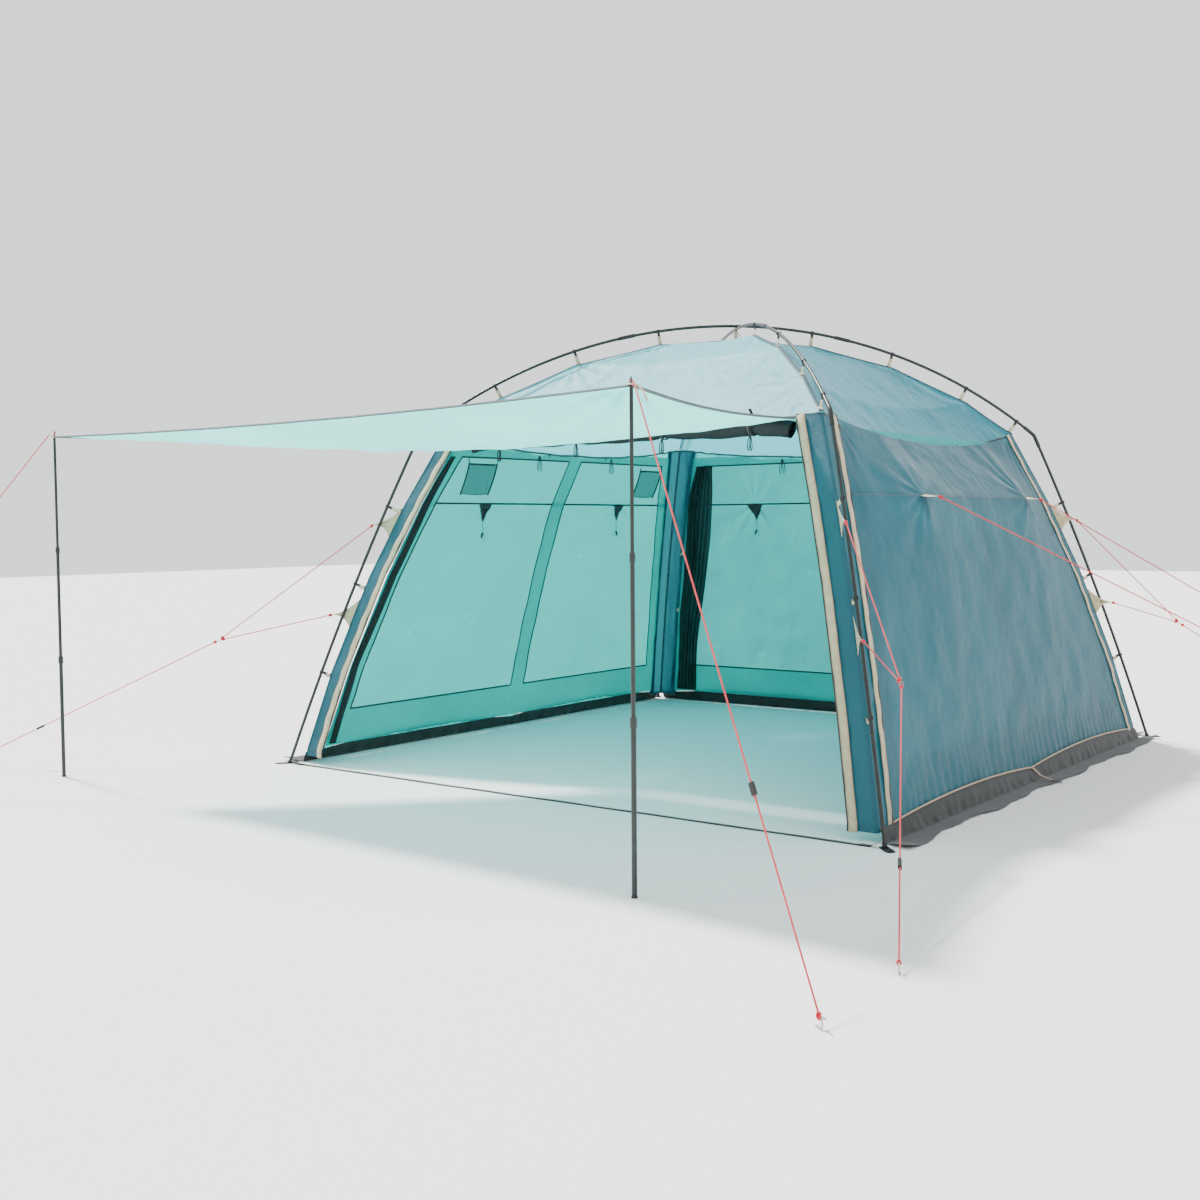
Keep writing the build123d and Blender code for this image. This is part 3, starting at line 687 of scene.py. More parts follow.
def make_roof():
    # The right panel takes the painted-shade copy of the roof cloth; the other three take the paler painted-light copy.
    panels = [surface(f"roof_part_{angle}", roof_shape(angle), 110, 170, MAT["roof" if angle != 0 else "roof_right_painted_shade"])
              for angle in (0, 90, 180, 270)]
    roof = joined("roof_cloth", panels)
    finish_piece(roof, replaces=["roof_canopy"])
    hem_shapes = []
    for angle in (0, 90, 180, 270):
        path = [eave_place(angle, u) + out_of(angle) * 0.002 - UP * 0.004 for u in np.linspace(-0.995, 0.995, 70)]
        hem_shapes.append(strip_shape(path, UP, 0.012, 0.0016))
    hem = finish_piece(many("roof_hem", hem_shapes, MAT["hem"]))
    seam_shapes = []
    for angle in CORNERS.values():
        path = []
        for half in np.linspace(0.03, TIP_HALF - 0.004, 80):
            z = float(roof_drop(np.array(half)) - ridge_scallop(np.array([half]))[0])
            path.append(out_of(angle) * half * ROOT2 + UP * (z + 0.0022))
        seam_shapes.append(strip_shape(path, beside(angle), 0.022, 0.0016))
    seams = finish_piece(many("roof_seams", seam_shapes, MAT["corner"]))
    buttons = []
    for angle in (0, 90, 180):
        for share in (-0.72, -0.24, 0.24, 0.72):
            at = eave_place(angle, share) + out_of(angle) * 0.008 - UP * 0.008
            buttons.append(tube_shape([at - along_of(angle) * 0.013, at + along_of(angle) * 0.013], 0.0042, 8))
            buttons.append(tube_shape([at, at - UP * 0.018 - out_of(angle) * 0.002], 0.0016, 6))
    finish_piece(many("eave_toggles", buttons, MAT["black"]))


# ---- Walls ----
def wall_bulge(angle, along, z):
    """How far the wall stands out from the shell's straight profile, drawn to its guy points."""
    if angle == WALLS["right"]:
        rise = np.interp(z, (0.07, 0.5, 1.0, 1.4, 1.768), (0.0, 0.022, 0.060, RIGHT_BULGE, 0.0))
        edge = profile(z) - CORNER_PANEL
        side = np.clip((edge - np.abs(along)) / np.maximum(edge - TAB_REACH, 0.05), 0, 1)
        valley = 1 - 0.16 * np.clip(1 - np.abs(along) / TAB_REACH, 0, 1)
        near = np.exp(-((np.abs(along) - TAB_REACH) ** 2 + (z - TAB_Z) ** 2) / 0.02)
        return rise * side * valley * 0.92 + rise * near * 0.08
    near = np.exp(-((np.abs(along) - TAB_REACH) ** 2 + (z - TAB_Z) ** 2) / 0.03)
    return 0.010 * near - 0.012 * np.sin(pi * np.clip((z - 0.07) / 1.7, 0, 1))


def eave_pull(u, z):
    """The hanging eave draws the top of a wall in."""
    return 0.045 * (1 - u * u) * np.clip((z - 1.36) / 0.32, 0, 1)


def hem_height(along, edge):
    """The wall's lower edge arches up between its corners and the peg loop in its middle."""
    return 0.060 + 0.034 * np.sin(pi * np.clip(np.abs(along) / edge, 0, 1)) ** 0.8


def wall_shape(angle):
    def shape(u, v):
        eave_z = ROOF_TIP_Z - 0.004 - (EAVE_DIP[angle] + 0.020) * (1 - (0.90 * u) ** 2)
        edge_low = PROFILE[-1][0] - CORNER_PANEL
        low_z = hem_height(u * edge_low, edge_low)
        z = eave_z + (low_z - eave_z) * v
        edge = profile(z) - CORNER_PANEL
        along = u * edge
        crease = ripple(along, z, 0.60, 3.0 + angle) * 0.0055 + ripple(along, z, 0.17, 5.0 + angle) * 0.0014
        for side in (-1, 1):
            crease = crease + 0.0065 * fan(along, z, (side * TAB_REACH, TAB_Z), 0.22, 9, side + angle * 0.01)
            crease = crease + 0.0050 * fan(along, z, (side * edge_low, 0.06), 0.25, 12, side * 2.0)
            crease = crease + 0.0050 * fan(along, z, (side * 1.02, 1.75), 0.20, 10, side * 3.0)
        pleats = 0.0035 * np.sin(along * 90 + 2 * np.sin(along * 9)) * np.exp(-(z - low_z) / 0.11)
        crease = (crease + pleats) * np.clip((1 - np.abs(u)) * 14, 0, 1)
        out = profile(z) + wall_bulge(angle, along, z) + crease - eave_pull(u, z) - 0.002
        return placed(angle, out, along, z)
    return shape


def wall_place(angle, along, z, lift=0.0):
    """Point on a wall at a height, this far in front of its cloth."""
    edge = half_at(z) - CORNER_PANEL
    u = along / edge
    eave_z = ROOF_TIP_Z - 0.004 - (EAVE_DIP[angle] + 0.020) * (1 - (0.90 * u) ** 2)
    edge_low = PROFILE[-1][0] - CORNER_PANEL
    low_z = float(hem_height(np.array(u * edge_low), edge_low))
    x, y, height = wall_shape(angle)(np.array([u]), np.array([(z - eave_z) / (low_z - eave_z)]))
    return Vector((x[0], y[0], height[0])) + out_of(angle) * lift


FRAME_TOP = 1.655        # upper edge of the mesh windows
FRAME_LOW = 0.270
FRAME_SIDE = 0.095       # width of the band between a window and the corner panel
STRIP_HALF = 0.060
BINDING = 0.009
INSET = 0.012            # the window layer hangs this far inside the wall


def inner_shape(angle, left, right, top, low, depth=0.0):
    """Part of the layer that carries the windows: left and right give places along the wall."""
    def shape(u, v):
        z = top + (low - top) * v
        edge = profile(z) - CORNER_PANEL
        start, end = left(edge), right(edge)
        along = start + (end - start) * (u + 1) / 2
        out = profile(z) - INSET - depth + 0.6 * wall_bulge(angle, along, z)
        out = out + 0.0030 * ripple(along, z, 0.5, 8.0 + angle) - eave_pull(along / edge, z)
        return placed(angle, out, along, z)
    return shape


def make_wall(name, angle):
    # The right wall takes the painted-shade copy of the wall cloth.
    cloth = surface(f"wall_{name}_cloth", wall_shape(angle), 170, 220, MAT["wall" if angle else "wall_right"])
    finish_piece(cloth, replaces=[f"wall_{name}"])
    trims = []
    seam_z = TAB_Z
    path = [wall_place(angle, along, seam_z, 0.0015) for along in np.linspace(-1.160, 1.160, 120)]
    trims.append(many(f"wall_{name}_seam", [strip_shape(path, UP, 0.010, 0.0012)], MAT["wall_seam"]))
    inside = [wall_place(angle, along, seam_z, -0.0025) for along in np.linspace(-1.160, 1.160, 120)]
    trims.append(many(f"wall_{name}_seam_tape", [strip_shape(inside, UP, BINDING, 0.0012)], MAT["black_tape"]))
    bands = []
    spans = (
        ("top", lambda e: -e, lambda e: e, 1.712, FRAME_TOP),
        ("low", lambda e: -e, lambda e: e, FRAME_LOW, 0.075),
        ("near", lambda e: -e, lambda e: -e + FRAME_SIDE, FRAME_TOP, FRAME_LOW),
        ("far", lambda e: e - FRAME_SIDE, lambda e: e, FRAME_TOP, FRAME_LOW),
        ("middle", lambda e: 0 * e - STRIP_HALF, lambda e: 0 * e + STRIP_HALF, FRAME_TOP, FRAME_LOW),
    )
    for word, left, right, top, low in spans:
        rows, columns = (60, 14) if top - low > 0.5 else (12, 90)
        bands.append(surface(f"band_{word}", inner_shape(angle, left, right, top, low), rows, columns, MAT["band"]))
    frame_layer = finish_piece(joined(f"wall_{name}_frame", bands))
    nets = []
    lines = []
    for side in (-1, 1):
        if side < 0:
            left, right = (lambda e: -e + FRAME_SIDE), (lambda e: 0 * e - STRIP_HALF)
        else:
            left, right = (lambda e: 0 * e + STRIP_HALF), (lambda e: e - FRAME_SIDE)
        nets.append(surface(f"net_{side}", inner_shape(angle, left, right, FRAME_TOP, FRAME_LOW, 0.001), 50, 40, MAT["net"]))
        rim = inner_shape(angle, left, right, FRAME_TOP, FRAME_LOW, 0.003)
        for u, v in ((np.linspace(-1, 1, 40), np.zeros(40)), (np.linspace(-1, 1, 40), np.ones(40)),
                     (-np.ones(60), np.linspace(0, 1, 60)), (np.ones(60), np.linspace(0, 1, 60))):
            x, y, z = rim(u, v)
            path = [Vector(point) for point in zip(np.broadcast_to(x, u.shape), np.broadcast_to(y, u.shape), z)]
            lines.append(strip_shape(path, out_of(angle).cross(path[-1] - path[0]), BINDING, 0.0014))
    net = finish_piece(joined(f"wall_{name}_net", nets))
    binding = finish_piece(many(f"wall_{name}_binding", lines, MAT["black_tape"]))
    for trim in trims:
        finish_piece(trim)
    if name == "right":
        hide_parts("mesh_windows")


def make_corners():
    shapes = []
    for angle in CORNERS.values():
        for side in (-1, 1):
            facing = angle + 45 * side

            def shape(u, v, facing=facing, side=side):
                z = ROOF_TIP_Z - 0.006 + (0.045 - ROOF_TIP_Z) * v
                half = profile(z)
                reach = CORNER_PANEL * (1 - u) / 2
                soft = 0.010 * np.exp(-reach / 0.012)
                sag = 0.006 * np.sin(pi * (1 - u) / 2) * (0.6 + 0.4 * np.sin(v * 23 + facing))
                crumple = 0.0022 * ripple(reach, z, 0.12, facing * 0.1) * np.sin(pi * (1 - u) / 2)
                return placed(facing, half - soft - sag + crumple, side * -1 * (half - reach), z)
            shapes.append(surface(f"corner_{angle:.0f}_{side}", shape, 90, 12, MAT["corner"]))
    panels = joined("corner_panel_cloth", shapes)
    finish_piece(panels, replaces=["corner_panels"])
    seams = []
    for angle in CORNERS.values():
        path = [out_of(angle) * (half_at(z) - 0.0095) * ROOT2 + UP * z for z in np.linspace(1.765, 0.05, 80)]
        seams.append(strip_shape(path, beside(angle), 0.010, 0.004))
    edging = finish_piece(many("corner_seams", seams, MAT["hem"]))


def tape_place(angle, side, z, inward, lift):
    """Point over the seam between a wall and a corner panel, this far from it towards the corner."""
    half = half_at(z)
    return out_of(angle) * (half + lift) + along_of(angle) * side * (half - CORNER_PANEL + inward) + UP * z


def make_zips():
    tapes, teeth, edges = [], [], []
    for angle in (0, 90, 180, 270):
        for side in (-1, 1):
            heights = np.linspace(1.762, 0.035, 150)
            path = []
            for index, z in enumerate(heights):
                pucker = 0.0016 * sin(index * 0.55 + angle + side) + 0.0020 * sin(index * 0.17 + side)
                path.append(tape_place(angle, side, z, 0.022 + pucker * 0.8, 0.0035 + pucker))
            tapes.append(strip_shape(path, along_of(angle), TAPE_WIDTH, TAPE_THICK))
            coil = [tape_place(angle, side, z, -0.002, 0.0032) for z in heights]
            teeth.append(strip_shape(coil, along_of(angle), 0.006, 0.0022))
            for offset in (0.0015, 0.0425):
                stitch = [tape_place(angle, side, z, offset, 0.0046) + (point - tape_place(angle, side, z, 0.022, 0.0035)) * 0.9
                          for z, point in zip(heights, path)]
                edges.append(strip_shape(stitch, along_of(angle), 0.0022, 0.0006))
    tape = finish_piece(many("zip_tape_cloth", tapes, MAT["beige_cloth"]), replaces=["zip_tapes"])
    finish_piece(many("zip_coils", teeth, MAT["zip"]))
    finish_piece(many("zip_tape_edges", edges, MAT["brown"]))
    return tape


# ---- Ground skirts ----
SKIRT_OUT = 0.150


def skirt_shape(angle):
    def shape(u, v):
        edge = PROFILE[-1][0] - 0.008
        along = u * edge
        wall_edge = PROFILE[-1][0] - CORNER_PANEL
        top = hem_height(np.clip(along, -wall_edge, wall_edge), wall_edge)
        hem_out = PROFILE[-1][0] + 0.002
        fall = np.clip(v / 0.42, 0, 1)
        flat = np.clip((v - 0.42) / 0.58, 0, 1)
        tip = 1 + 0.22 * np.abs(u) ** 14
        wavy = 0.014 * np.sin(along * 7.0 + angle) + 0.008 * np.sin(along * 17.0 + 2 + angle)
        out = hem_out + 0.030 * fall + flat * (SKIRT_OUT - 0.052 + wavy) * tip
        lift = 0.010 * np.clip(np.sin(along * 6.0 + 1 + angle) + 0.3 * np.sin(along * 21.0), 0, 2) * flat
        z = 0.003 + (top - 0.004) * (1 - fall) ** 1.2 + lift * (1 - 0.4 * flat) + 0.016 * (1 - fall) * fall * 3
        z = z + 0.020 * flat * np.clip((np.abs(u) - 0.94) / 0.06, 0, 1)
        out = out + 0.004 * ripple(along, v * 0.2, 0.2, angle * 0.3) * fall
        stretch = 1 + 0.030 * flat
        return placed(angle, np.minimum(out, PROFILE[-1][0] + 0.160), along * stretch, z)
    return shape


def make_skirts():
    pipings = []
    loops = []
    for name, angle in WALLS.items():
        skirt = surface(f"mud_skirt_{name}_cloth", skirt_shape(angle), 26, 240, MAT["skirt"])
        finish_piece(skirt, replaces=[f"mud_skirt_{name}"])
        edge = PROFILE[-1][0] - CORNER_PANEL
        path = []
        for along in np.linspace(-edge, edge, 160):
            z = float(hem_height(np.array(along), edge))
            path.append(out_of(angle) * (PROFILE[-1][0] + 0.0065) + along_of(angle) * along + UP * (z + 0.004))
        pipings.append(strip_shape(path, UP, 0.008, 0.004))
        foot = out_of(angle) * (PROFILE[-1][0] + 0.006)
        for step in (-1, 1):
            pipings.append(strip_shape([foot + along_of(angle) * 0.006 * step + UP * 0.066,
                                        foot + out_of(angle) * 0.045 + UP * 0.030,
                                        foot + out_of(angle) * 0.110 + UP * 0.010], along_of(angle), 0.012, 0.0015))
        loops.append(strip_shape([foot + out_of(angle) * 0.100 + UP * 0.012, foot + out_of(angle) * 0.152 + UP * 0.006],
                                 along_of(angle), 0.016, 0.002))
    piping = finish_piece(many("skirt_piping", pipings, MAT["piping"]))
    tab = finish_piece(many("skirt_peg_loops", loops, MAT["black_tape"]))


def make_strap():
    path = []
    for x in np.linspace(-FOOT_HALF + 0.062, FOOT_HALF - 0.062, 70):
        drift = 0.0022 * sin(x * 3.1) + 0.0012 * sin(x * 11)
        path.append(Vector((x, -FOOT_HALF + drift, 0.0022 + 0.0005 * sin(x * 14))))
    strap = finish_piece(many("front_strap_webbing", [strip_shape(path, Vector((0, 1, 0)), 0.025, 0.0018)], MAT["black_tape"]),
                         replaces=["front_strap"])
    ties = []
    for side in (-1, 1):
        end = Vector((side * (FOOT_HALF - 0.062), -FOOT_HALF, 0.004))
        ties.append(strip_shape([end - Vector((side * 0.05, 0, 0)), end, end + Vector((side * 0.035, -0.004, 0.016))],
                                Vector((0, 1, 0)), 0.026, 0.002))
    finish_piece(many("front_strap_ends", ties, MAT["black_tape"]))


# ---- Clips' webbing ----
def leg_point(share):
    """Out from the tent's axis and up, on a leg's centreline."""
    foot, top = (1.750 * ROOT2, 0.0), (1.240 * ROOT2, 1.768)
    length = hypot(top[0] - foot[0], top[1] - foot[1])
    along = ((top[0] - foot[0]) / length, (top[1] - foot[1]) / length)
    bow = 0.026 * 4 * share * (1 - share)
    return foot[0] + (top[0] - foot[0]) * share + along[1] * bow, top[1] * share - along[0] * bow


def roof_pole_point(apex, half):
    run, drop = 1.240 * ROOT2, apex - 1.768
    radius = (run * run + drop * drop) / (2 * drop)
    centre = apex - radius
    place = (half * ROOT2, centre + sqrt(radius * radius - 2 * half * half))
    return place, (0 - place[0], centre - place[1])


def make_webbing():
    bands = []
    for name, angle in CORNERS.items():
        plane_out = out_of(angle)
        foot_gap = 0.022
        for share in (0.265, 0.535, 0.775):
            true_share = foot_gap / 1.909 + share * (1 - foot_gap / 1.909)
            r, z = leg_point(true_share)
            ahead = leg_point(true_share + 0.01)
            tangent = Vector((ahead[0] - r, ahead[1] - z)).normalized()
            inward = Vector((-tangent.y, tangent.x))
            if inward.x > 0:
                inward = -inward
            start = Vector((r, z)) + inward * 0.022
            end_z = z + inward.y * 0.075 + 0.004
            end = Vector(((half_at(end_z) - 0.009) * ROOT2, end_z))
            middle = (start + end) / 2 + Vector((0.002, -0.006))
            path = [plane_out * p.x + UP * p.y for p in (start, middle, end, end + Vector((0.002, 0.014)))]
            side = Vector(plane_out * tangent.x + UP * tangent.y)
            bands.append(strip_shape(path, side, 0.020, 0.0022))
            bands.append(strip_shape([point + side * 0.0006 + beside(angle) * 0.0022 for point in path], side, 0.017, 0.0008))
        apex = 2.370 if name in ("back_right", "front_left") else 2.353
        for half in CLIP_HALVES[1:]:
            place, toward = roof_pole_point(apex, half if half < 1.0 else 1.165)
            inward = Vector(toward).normalized()
            start = Vector(place) + inward * 0.022
            end = Vector(start)
            for _ in range(60):
                ridge = ridge_z(min(end.x / ROOT2, TIP_HALF))
                if end.y <= ridge + 0.001 or end.y < 1.74:
                    break
                end = end + inward * 0.002
            middle = (start + end) / 2
            path = [plane_out * p.x + UP * p.y for p in (start, middle, end)]
            tangent = Vector((-inward.y, inward.x))
            side = plane_out * tangent.x + UP * tangent.y
            bands.append(strip_shape(path, side, 0.020, 0.0022))
            run = end + tangent * 0.012
            back = end - tangent * 0.012
            patch = [plane_out * p.x + UP * (p.y + 0.0015) for p in (back, end, run)]
            bands.append(strip_shape(patch, beside(angle), 0.024, 0.0014))
    top = Vector((0, 0, 2.345))
    for turn in (35, 125, 215, 305):
        bands.append(strip_shape([top + out_of(turn) * 0.004, top + out_of(turn) * 0.022 - UP * 0.022,
                                  Vector((0, 0, ridge_z(0.02) + 0.003)) + out_of(turn) * 0.030], along_of(turn), 0.020, 0.0018))
    finish_piece(many("clip_loops", bands, MAT["beige"]), replaces=["clip_webbing"])


# ---- Corner and wall guy tabs ----
def make_tabs():
    shapes, stitches = [], []
    for name, angle in CORNERS.items():
        for height in TAB_LEVELS:
            tip = tab_tip(angle, height)
            high = out_of(angle) * (half_at(height + 0.085) - 0.008) * ROOT2 + UP * (height + 0.085)
            low = out_of(angle) * (half_at(height - 0.070) - 0.008) * ROOT2 + UP * (height - 0.070)
            rows = []
            for step in np.linspace(0, 1, 10):
                start = low.lerp(high, step)
                line = []
                for share in np.linspace(0, 1, 14):
                    bow = 0.020 * sin(pi * share) * (2 * step - 1)
                    point = start.lerp(tip, share) - (high - low).normalized() * bow
                    puff = 0.0035 * sin(pi * share) * sin(3 * pi * step)
                    line.append(point + beside(angle) * (0.002 + puff))
                rows.append(line)
            points = [point for line in rows for point in line]
            shapes.append((points, grid_faces(10, 14)))
            for edge in (rows[0], rows[-1]):
                stitches.append(tube_shape([point for point in edge], 0.0016, 6))
    tabs = finish_piece(many("corner_tab_cloth", shapes, MAT["beige_cloth"]), replaces=["corner_guy_tabs"])
    finish_piece(many("corner_tab_edges", stitches, MAT["beige"]))
    shapes = []
    for name, angle in WALLS.items():
        for side in (-1, 1):
            base = wall_place(angle, side * TAB_REACH, TAB_Z, 0.0)
            bulge = RIGHT_BULGE if name == "right" else 0.008
            tip = out_of(angle) * (half_at(TAB_Z) + bulge + 0.064) + along_of(angle) * side * TAB_REACH + UP * (TAB_Z - 0.006)
            across = along_of(angle)
            for fold in (-1, 1):
                rows = []
                for step in np.linspace(0, 1, 6):
                    start = base + UP * (0.004 - 0.006 * step) + across * fold * (0.034 * step)
                    start = Vector(start) - out_of(angle) * 0.010 * step
                    rows.append([start.lerp(tip, share) + UP * (-0.004 * step * sin(pi * share)) for share in np.linspace(0, 1, 12)])
                shapes.append(([point for line in rows for point in line], grid_faces(6, 12)))
    finish_piece(many("wall_tab_cloth", shapes, MAT["beige_cloth"]), replaces=["wall_guy_tabs"])


# ---- Inside ----
def make_inner():
    triangles, strings, barrels = [], [], []
    for name, angle in WALLS.items():
        for side in (-1, 1):
            def at(along, z, lift=-0.006):
                return wall_place(angle, side * TAB_REACH + along, z, lift)
            rows = []
            for step in np.linspace(0, 1, 9):
                spread = 0.056 * (1 - step) ** 1.1 + 0.002
                z = TAB_Z - 0.004 - 0.100 * step
                rows.append([at(spread * share, z, -0.008 - 0.008 * step) for share in np.linspace(-1, 1, 9)])
            triangles.append(([point for line in rows for point in line], grid_faces(9, 9)))
            low = at(0, TAB_Z - 0.104, -0.016)
            hang = [low, low - UP * 0.020 + along_of(angle) * 0.003, low - UP * 0.045 - along_of(angle) * 0.004,
                    low - UP * 0.066 + along_of(angle) * 0.002]
            strings.append(tube_shape(hang, 0.0012, 6))
            knot = hang[-1]
            lean = (along_of(angle) * 0.4 * side - UP).normalized()
            barrels.append(tube_shape([knot - lean * 0.003, knot, knot + lean * 0.004, knot + lean * 0.014, knot + lean * 0.024,
                                       knot + lean * 0.028], [0.002, 0.0055, 0.0062, 0.0045, 0.0060, 0.0040], 12))
            for tail in (-1, 1):
                strings.append(tube_shape([knot, knot + along_of(angle) * 0.014 * tail - UP * 0.004,
                                           knot + along_of(angle) * 0.016 * tail - UP * 0.024,
                                           knot + along_of(angle) * 0.011 * tail - UP * 0.038], 0.0012, 6))
            roof_tie = at(-0.30 * side, 1.690, -0.010) - UP * 0.006
            for tail in (-1, 1):
                loop = [roof_tie, roof_tie + along_of(angle) * 0.016 * tail - UP * 0.035,
                        roof_tie + along_of(angle) * 0.022 * tail - UP * 0.080,
                        roof_tie + along_of(angle) * 0.012 * tail - UP * 0.096,
                        roof_tie + along_of(angle) * 0.007 * tail - UP * 0.070, roof_tie]
                strings.append(strip_shape(loop, out_of(angle).cross(UP), 0.005, 0.0012))
    finish_piece(many("inner_tab_cloth", triangles, MAT["black_tape"]), replaces=["inner_tabs"])
    finish_piece(many("tab_strings", strings, MAT["black_tape"]))
    finish_piece(many("toggle_barrels", barrels, MAT["black"]), replaces=["tab_toggles"])


def make_pockets():
    nets, rims = [], []
    angle = WALLS["left"]
    for y in (-0.790, 0.860):
        def at(u, v):
            z = 1.618 - 0.168 * v
            half = 0.118 * (1 - 0.06 * v) * (1 + 0.05 * v)
            out = half_at(z) - 0.030 - 0.020 * sin(pi * v) * cos(u * 1.3)
            return out_of(angle) * out + along_of(angle) * (-y + u * half) + UP * (z + 0.007 * u * u * v)
        rows = [[at(u, v) for u in np.linspace(-1, 1, 22)] for v in np.linspace(0, 1, 16)]
        nets.append(([point for line in rows for point in line], grid_faces(16, 22)))
        rims.append(tube_shape([at(-1, v) for v in np.linspace(0, 1.06, 14)], 0.0042, 8))
        rims.append(tube_shape([at(1, v) for v in np.linspace(0, 1.06, 14)], 0.0042, 8))
        rims.append(strip_shape([at(u, 0) for u in np.linspace(-1, 1, 14)], UP, 0.010, 0.0016))
        rims.append(strip_shape([at(u, 1) for u in np.linspace(-1, 1, 14)], UP, 0.004, 0.0012))
        for u in (-1, 1):
            top = at(u, 0)
            rims.append(strip_shape([top, top + UP * 0.030, top + UP * 0.062 + out_of(angle) * 0.004], along_of(angle), 0.007, 0.0014))
    net = finish_piece(many("pocket_nets", nets, MAT["net_pocket"]), replaces=["mesh_pockets"])
    rim = finish_piece(many("pocket_rims", rims, MAT["black_tape"]))


def roll_middle(x):
    """The rolled door's centreline: it sags between its ties."""
    sag = 0.012 * abs(sin(pi * (x + 0.26) / 0.52))
    return Vector((x, -TIP_HALF + 0.062 + 0.004 * sin(x * 5), ROOF_TIP_Z - 0.046 - sag - 0.020 * (x / 1.0) ** 8))


def make_door():
    length = 0.970
    turns, around, stations = 9, 26, 90
    rows = []
    for x in np.linspace(-length, length, stations):
        middle = roll_middle(float(x))
        row = []
        for step in range(turns * around + 1):
            turn = 2 * pi * step / around
            grow = step / (turns * around)
            radius = 0.007 + 0.031 * grow
            lump = 1 + 0.07 * sin(2 * turn + x * 6) + 0.05 * sin(x * 31 + 3 * turn) * grow + 0.05 * sin(x * 13 + turn) * grow
            tied = 1 - 0.16 * exp(-((abs(abs(x) - 0.52) - 0.26) / 0.022) ** 2)
            spread = radius * lump * (tied if grow > 0.7 else 1)
            row.append((middle.x + 0.012 * grow * sin(turn), middle.y + spread * cos(turn), middle.z + spread * 1.02 * sin(turn)))
        rows.append(row)
    door = sheet_mesh("rolled_door_net", rows, MAT["net_dense"])
    finish_piece(door, replaces=["rolled_mesh_door"])
    ties = []
    for x in (-0.780, -0.260, 0.260, 0.760):
        middle = roll_middle(x)
        ring = []
        for turn in np.linspace(0, 2 * pi, 32, endpoint=False):
            ring.append(middle + Vector((0.002 * sin(2 * turn), 0.0415 * cos(turn), 0.0425 * sin(turn))))
        ring.append(ring[0])
        ties.append(strip_shape(ring, Vector((1, 0, 0)), 0.018, 0.0014))
        top = middle + UP * 0.042
        ties.append(strip_shape([top, top + Vector((0, -0.012, 0.022)), top + Vector((0, -0.030, 0.040))], Vector((1, 0, 0)), 0.016, 0.0014))
        low = middle + Vector((0.004, -0.030, -0.034))
        for tail in (-1, 1):
            loop = [low, low + Vector((0.010 * tail, -0.004, -0.030)), low + Vector((0.013 * tail, -0.004, -0.066)),
                    low + Vector((0.006 * tail, -0.003, -0.078)), low + Vector((0.001 * tail, -0.002, -0.050)), low]
            ties.append(strip_shape(loop, Vector((0, 1, 0)), 0.007, 0.0012))
    finish_piece(many("roll_tie_straps", ties, MAT["black_tape"]), replaces=["roll_ties"])


def curtain(name, angle, middle, width, depth, folds, flat):
    """Mesh curtain drawn together: pleats from the eave to the hem, narrow where it is tied."""
    def shape(u, v):
        z = 1.655 - (1.655 - 0.085) * v
        edge = profile(z) - CORNER_PANEL
        tied = 1 - 0.30 * np.exp(-((z - 1.66) / 0.12) ** 2) + 0.10 * np.sin(v * 5)
        wander = 0.008 * np.sin(v * 9 + 1)
        turn = folds * pi * (u + 1) + 0.7 * np.sin(v * 6) + 0.4 * np.sin(v * 17 + u * 3)
        along = edge - middle + wander + u * width / 2 * tied + 0.006 * np.cos(turn * 2)
        out = profile(z) - 0.016 - depth / 2 + depth / 2 * np.sin(turn) * (0.75 + 0.25 * np.sin(v * 4 + u * 2))
        return placed(angle, out, along, z)
    cloth = surface(name, shape, 90, 160, MAT["net_dense"])
    return cloth


def make_curtains():
    back = curtain("curtain_back", WALLS["back"], 0.1125, 0.165, 0.034, 5.5, None)
    left = curtain("curtain_front_left", WALLS["left"], 0.032, 0.045, 0.014, 3.5, None)
    finish_piece(back, replaces=["gathered_mesh"])
    finish_piece(left)


# ---- Awning ----
AWNING_SAG = 0.105


def awning_shape(u, v):
    """u from the left edge, -1, to the right, 1; v from the eave to the outer edge."""
    share = (u + 1) / 2
    back_x = -AWNING_BACK_HALF + 2 * AWNING_BACK_HALF * share
    front_x = AWNING_LEFT[0] + (AWNING_RIGHT[0] - AWNING_LEFT[0]) * share
    front_y = AWNING_LEFT[1] + (AWNING_RIGHT[1] - AWNING_LEFT[1]) * share
    x = back_x + (front_x - back_x) * v
    y = HINGE_Y + (front_y - HINGE_Y) * v
    slack = 1 - u * u
    y = y + 0.055 * v ** 5 * slack
    x = x - 0.050 * u * np.abs(u) ** 5 * np.sin(pi * v)
    sag = AWNING_SAG * np.sin(pi * v ** 0.9) * slack ** 0.75 + 0.020 * v ** 3 * slack + 0.016 * (1 - v) ** 2 * slack
    sag = sag + 0.018 * np.sin(pi * v) * (1 - slack)
    crease = 0.0050 * ripple(x, y, 0.7, 4.0) + 0.0015 * ripple(x, y, 0.2, 6.0)
    for place, height, reach, count, seed in (
            (AWNING_RIGHT, 0.026, 0.42, 19, 0.4), (AWNING_LEFT, 0.014, 0.55, 23, 1.3),
            ((AWNING_BACK_HALF, HINGE_Y), 0.010, 0.35, 13, 2.1), ((-AWNING_BACK_HALF, HINGE_Y), 0.010, 0.35, 13, 3.0)):
        crease = crease + height * fan(x, y, place, reach, count, seed)
    crease = crease * np.clip((1 - np.abs(u)) * 12, 0.08, 1) * np.clip(v * 8, 0, 1) * np.clip((1 - v) * 14, 0.10, 1)
    return x, y, AWNING_Z - sag + crease


def awning_edge(u, v, lift=0.0):
    x, y, z = awning_shape(np.array([float(u)]), np.array([float(v)]))
    return Vector((x[0], y[0], z[0] + lift))


